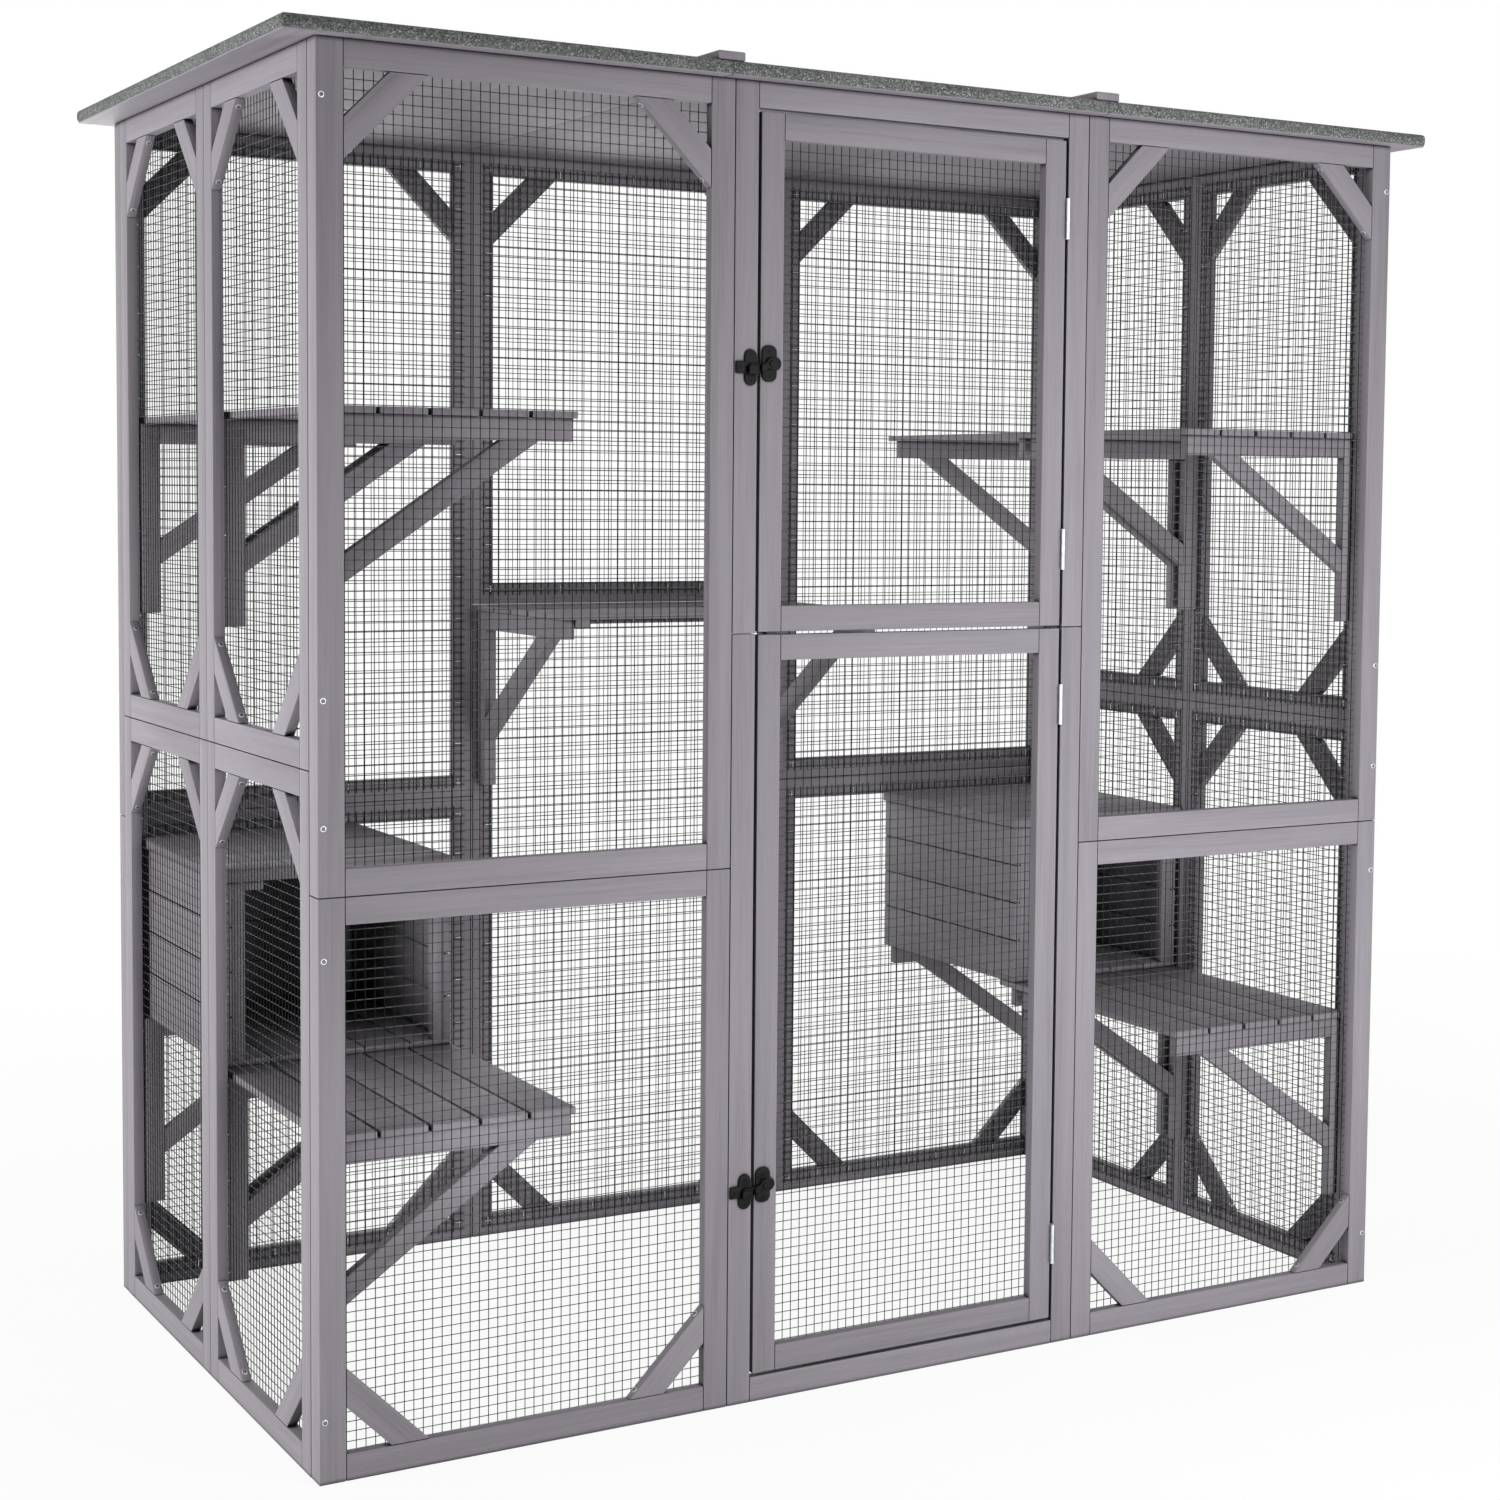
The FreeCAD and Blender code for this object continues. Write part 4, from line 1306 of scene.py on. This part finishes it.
@dataclass
class Shelf:
    """Slats on brackets, drawn with the wall at x = 0 and the slats running along y."""

    top: float
    width: float = 30.0
    thickness: float = 16.0
    arm: float = 337.0
    leg: float = 284.0
    drop: float = 180.0
    reach: float = 260.0
    slat_count: int = 5
    slat: float = 9.0
    slat_gap: float = 5.0
    slat_ease: float = 0.8
    wall_gap: float = 7.0
    overhang: float = 6.0

    @property
    def base(self) -> float:
        """Height of the slats' undersides."""
        return self.top - self.slat

    @property
    def front(self) -> float:
        """Front edge of the slats, from the wall."""
        return self.arm + self.overhang

    def slats(self, piece: Piece, length: float, place: Matrix) -> None:
        """Adds the slats.

        Args:
            piece: The piece that gets them.
            length: Their length.
            place: Matrix that takes their undersides to the shelf's base.
        """
        span = self.front - self.wall_gap
        width = (span - (self.slat_count - 1) * self.slat_gap) / self.slat_count
        for index in range(self.slat_count):
            x = self.wall_gap + index * (width + self.slat_gap)
            piece.board((x, x + width), (0, length), (0, self.slat), Y, place, self.slat_ease)

    def bracket(self, piece: Piece, place: Matrix) -> None:
        """Adds a leg, an arm and the diagonal between them.

        Args:
            piece: The piece that gets them.
            place: Matrix that takes the bracket's top to the shelf's base.
        """
        faces = (0.0, self.thickness)
        piece.board((0, self.width), faces, (-self.leg, 0), Z, place)
        piece.board((self.width, self.arm), faces, (-self.width, 0), X, place)
        low = Vector((self.width, 0, -self.width - self.drop))
        high = Vector((self.width + self.reach, 0, -self.width))
        run = high - low
        shift = Vector((-run.z, 0, run.x)).normalized() * self.width / 2
        cuts = ((low, Vector((-1, 0, 0))), (high, Vector((0, 0, 1))))
        piece.strut(low + shift, high + shift, self.width, faces, cuts, place)


@dataclass
class SideShelves:
    """The upper shelf and the lower platform of both side walls."""

    end_gap: float = 1.0
    front_setback: float = 4.0
    middle_offset: float = 8.0
    upper_top: float = 1340.0
    platform_top: float = 430.0
    platform_back: float = 50.0

    def build(self) -> None:
        """Makes slats and brackets on the left, and mirrors them on the right."""
        upper, platform = Shelf(self.upper_top), Shelf(self.platform_top)
        post = -CARCASS.front - CARCASS.post
        self.pair("upper_%s_shelf", upper, post - self.end_gap, 0.0)
        self.pair("lower_%s_platform", platform, self.platform_back, platform.slat)

    def pair(self, name: str, shelf: Shelf, slat_end: float, back_rise: float) -> None:
        """Makes one level on both walls.

        Args:
            name: Its nodes' name, with room for the side.
            shelf: Its slats and brackets.
            slat_end: Where the slats end at the back.
            back_rise: How far its back bracket reaches up past the others, to a house floor.
        """
        front = CARCASS.front + CARCASS.post + self.end_gap
        wall = CARCASS.left + CARCASS.lining
        near = (front + self.front_setback, -self.middle_offset - shelf.thickness, self.middle_offset)
        spots = [(y, 0.0) for y in near]
        spots.append((-CARCASS.front - CARCASS.post - CARCASS.member, back_rise))
        for side in (Side.LEFT, Side.RIGHT):
            node = name % side.value
            boards = Piece(node + "_slats", Slot.WOOD)
            shelf.slats(boards, slat_end - front, Matrix.Translation((wall, front, shelf.base)))
            struts = Piece(node + "_struts", Slot.WOOD)
            for y, rise in spots:
                shelf.bracket(struts, Matrix.Translation((wall, y, shelf.base + rise)))
            for piece, target in ((boards, node), (struts, node + "_brackets")):
                if side is Side.RIGHT:
                    piece.mirror()
                piece.finish(target)


@dataclass
class BackShelf:
    """The shelf across the middle bay of the back wall, with a cleat beside each bracket."""

    top: float = 1050.0
    thickness: float = 20.0
    past_bracket: float = 2.5
    cleat: Span = (24.0, 12.0)

    def build(self) -> None:
        """Makes the slats, the cleats and two brackets."""
        shelf = Shelf(self.top, thickness=self.thickness)
        wall = -CARCASS.front - CARCASS.lining
        middle = (CARCASS.bay - CARCASS.member) / 2
        outer = middle + self.thickness / 2
        half = outer + self.past_bracket
        turn = Matrix.Rotation(-math.pi / 2, 4, "Z")
        place = Matrix.Translation((-half, wall, shelf.base)) @ turn
        boards = Piece("back_shelf_slats", Slot.WOOD)
        shelf.slats(boards, 2 * half, place)
        width, height = self.cleat
        first = self.past_bracket + self.thickness
        for low in (first, 2 * half - first - width):
            boards.board((shelf.wall_gap, shelf.front), (low, low + width), (-height, 0), X, place)
        boards.finish("back_shelf")
        struts = Piece("back_shelf_struts", Slot.WOOD)
        for x in (-outer, outer - shelf.thickness):
            shelf.bracket(struts, Matrix.Translation((x, wall, shelf.base)) @ turn)
        struts.finish("back_shelf_brackets")


@dataclass
class House:
    """A plank house on the back half of a platform, drawn on the left."""

    side: Side
    platform: Shelf
    front: float = 10.0
    inset: float = 2.0
    back_gap: float = 2.0
    floor: float = 9.0
    wall_height: float = 251.0
    planks: int = 4
    plank: float = 10.0
    gap: float = 2.0
    jamb: float = 18.0
    jamb_depth: float = 16.0
    block: Span = (27.0, 13.0)
    roof: float = 16.0
    roof_boards: int = 5
    overhang: float = 5.0
    eaves_gap: float = 1.6
    board_ease: float = 0.8
    tongue_inset: float = 3.2
    tongue_lap: float = 1.0
    tongue_ease: float = 0.3

    def build(self) -> None:
        """Makes the floor, the walls with jambs and corner blocks, and the boarded roof."""
        wall = CARCASS.left + CARCASS.lining
        left = wall + self.platform.wall_gap + self.inset
        right = wall + self.platform.front - self.inset
        back = -CARCASS.front - CARCASS.post - self.back_gap
        bottom = self.platform.top + self.floor
        top = bottom + self.wall_height
        walls = Piece(f"{self.side.value}_house_planks", Slot.WOOD)
        whole = ((left, right), (self.front, back), (self.platform.top, bottom))
        self.boarding(walls, whole, X, Y, self.floor_edges((left, right)))
        inner_left, inner_right, inner_back = left + self.plank, right - self.plank, back - self.plank
        planks = self.even((bottom, top - self.eaves_gap), self.planks)
        for x in ((left, inner_left), (inner_right, right)):
            self.boarding(walls, (x, (self.front, back), (bottom, top)), Z, Y, planks)
        self.boarding(walls, ((inner_left, inner_right), (inner_back, back), (bottom, top)), Z, X, planks)
        for y in (self.front, inner_back - self.jamb_depth):
            for x in (inner_left, inner_right - self.jamb):
                walls.board((x, x + self.jamb), (y, y + self.jamb_depth), (bottom, top), Z)
        width, height = self.block
        for x in (inner_left + self.jamb, inner_right - self.jamb - width):
            walls.board((x, x + width), (self.front, self.front + self.jamb_depth), (top - height, top), X)
        boards = Piece(f"{self.side.value}_house_roof_boards", Slot.WOOD)
        depth = (self.front - self.overhang, back)
        cover = ((left - self.overhang, right + self.overhang), depth, (top, top + self.roof))
        self.boarding(boards, cover, Y, X, self.even(depth, self.roof_boards))
        for piece, target in ((walls, "house_walls"), (boards, "house_roof")):
            if self.side is Side.RIGHT:
                piece.mirror()
            piece.finish(f"{self.side.value}_{target}")

    def even(self, span: Span, count: int) -> list[Span]:
        """Boards of one width side by side.

        Args:
            span: Where the first starts and the last ends.
            count: How many there are.

        Returns:
            Where each board starts and ends.
        """
        width = (span[1] - span[0] - (count - 1) * self.gap) / count
        lows = [span[0] + index * (width + self.gap) for index in range(count)]
        return [(low, low + width) for low in lows]

    def floor_edges(self, x: Span) -> list[Span]:
        """Floor boards in line with the slats of the platform.

        Args:
            x: Where the floor starts and ends.

        Returns:
            Where each board starts and ends.
        """
        count = self.platform.slat_count
        pitch = (x[1] - x[0] + 2 * self.inset + self.platform.slat_gap) / count
        joints = [x[0] - self.inset + index * pitch for index in range(1, count)]
        return list(zip([x[0], *joints], [*(joint - self.gap for joint in joints), x[1]]))

    def boarding(self, piece: Piece, box: Sequence[Span], across: int, along: int, edges: Sequence[Span]) -> None:
        """Adds boards side by side, with a thin tongue in each joint and in the gap after the last one.

        Args:
            piece: The piece that gets them.
            box: Spans of the whole in x, y and z.
            across: Axis on which the boards follow one another.
            along: Axis that their grain follows.
            edges: Where each board starts and ends across.
        """
        thin = X + Y + Z - across - along
        ends = [low for low, _ in edges[1:]] + [box[across][1]]
        for (low, high), end in zip(edges, ends):
            spans = list(box)
            spans[across] = (low, high)
            piece.board(*spans, along, ease=self.board_ease)
            if end > high:
                spans[across] = (high - self.tongue_lap, min(end + self.tongue_lap, box[across][1]))
                spans[thin] = (box[thin][0] + self.tongue_inset, box[thin][1] - self.tongue_inset)
                piece.board(*spans, along, ease=self.tongue_ease)


@dataclass(frozen=True)
class Lamp:
    """A soft panel of light, in metres, watts and degrees, which shines on a target."""

    name: str
    spot: tuple[float, float, float]
    target: tuple[float, float, float]
    size: Span
    power: float
    spread: float = 180.0

    def build(self) -> None:
        """Hangs the lamp, out of the camera's sight, and aims it."""
        lamp = bpy.data.lights.new(self.name, "AREA")
        lamp.shape = "RECTANGLE"
        lamp.size, lamp.size_y = self.size
        lamp.energy = self.power
        lamp.spread = math.radians(self.spread)
        thing = add_object(self.name, lamp)
        thing.visible_camera = False
        aim = Vector(self.target) - Vector(self.spot)
        thing.matrix_world = Matrix.Translation(self.spot) @ aim.to_track_quat("-Z", "Y").to_matrix().to_4x4()


@dataclass
class Studio:
    """Floor, light and the camera of the photograph, in metres and degrees."""

    lens: float = 61.519
    sensor: float = 36.0
    clip_end: float = 200.0
    shift: Span = (-0.0822, -0.062)
    eye: tuple = (-1.8776, -3.4733, 1.2403)
    yaw: float = 31.02
    pitch: float = -3.68
    roll: float = 0.62
    room: float = 0.11
    floor_half: float = 40.0
    lamps: tuple = (
        Lamp("left", (-3.6, -0.1, 1.2), (-0.855, 0.0, 0.9), (2.4, 2.4), 97.0),
        Lamp("front", (0.46, -2.1, 1.05), (0.46, -0.46, 1.05), (0.7, 2.3), 36.0),
        Lamp("low", (-1.1, -1.3, 0.3), (-0.6, -0.3, 0.4), (0.4, 0.4), 0.9),
        Lamp("house", (-0.73, -0.15, 0.58), (-0.515, 0.11, 0.56), (0.04, 0.04), 0.05, 50.0),
        Lamp("platform", (-0.75, -1.7, 1.15), (-0.62, -0.32, 0.37), (0.2, 0.2), 0.13, 16.0),
        Lamp("right", (3.6, 0.0, 1.2), (0.855, 0.0, 0.9), (2.4, 2.4), 46.0),
        Lamp("back", (0.3, 3.6, 1.0), (0.0, 0.46, 0.9), (3.0, 2.0), 56.0),
        Lamp("top", (0.0, 0.05, 3.4), (0.0, 0.0, 1.8), (1.6, 0.8), 24.0),
    )

    def build(self) -> None:
        """Makes the stage round the object."""
        bpy.context.scene.view_settings.view_transform = "Standard"
        self.surroundings()
        self.floor()
        for lamp in self.lamps:
            lamp.build()
        self.camera()

    def surroundings(self) -> None:
        """Makes a room that looks white and lights the object more softly."""
        world = bpy.data.worlds.new("studio")
        world.use_nodes = True
        nodes = Nodes(world.node_tree)
        strength = nodes.add("MapRange", "Result", {"Value": seen_ray(nodes), "To Min": self.room, "To Max": 1.0})
        nodes.feed(nodes.tree.nodes["Background"], {"Color": srgb(WHITE), "Strength": strength})
        bpy.context.scene.world = world

    def floor(self) -> None:
        """Adds the pale floor."""
        ground = bmesh.new()
        bmesh.ops.create_grid(ground, x_segments=2, y_segments=2, size=self.floor_half)
        data = bpy.data.meshes.new("floor")
        ground.to_mesh(data)
        ground.free()
        data.materials.append(StudioFloor().material())
        add_object("floor", data)

    def camera(self) -> None:
        """Adds the camera that was fitted to the photograph."""
        data = bpy.data.cameras.new("camera")
        data.lens = self.lens
        data.sensor_width = self.sensor
        data.shift_x, data.shift_y = self.shift
        data.clip_end = self.clip_end
        thing = add_object("camera", data)
        level = Euler((math.pi / 2 + math.radians(self.pitch), 0, -math.radians(self.yaw))).to_matrix().to_4x4()
        roll = Matrix.Rotation(math.radians(self.roll), 4, "Z")
        thing.matrix_world = Matrix.Translation(self.eye) @ level @ roll
        bpy.context.scene.camera = thing


def main() -> None:
    """Builds the enclosure, sub-assembly by sub-assembly, and the studio round it."""
    logging.basicConfig(level=logging.INFO, format="%(name)s: %(message)s")
    shelves = SideShelves()
    assemblies = [Walls(Fixings(ENCLOSURE))]
    for level in Level:
        assemblies += [Door(level), Latch(level)]
    assemblies += [Hinges(), Roof(), shelves, BackShelf()]
    assemblies += [House(side, Shelf(shelves.platform_top)) for side in (Side.LEFT, Side.RIGHT)]
    for assembly in [*assemblies, Studio()]:
        assembly.build()
        log.info("%s built", type(assembly).__name__)


if __name__ == "__main__":
    main()
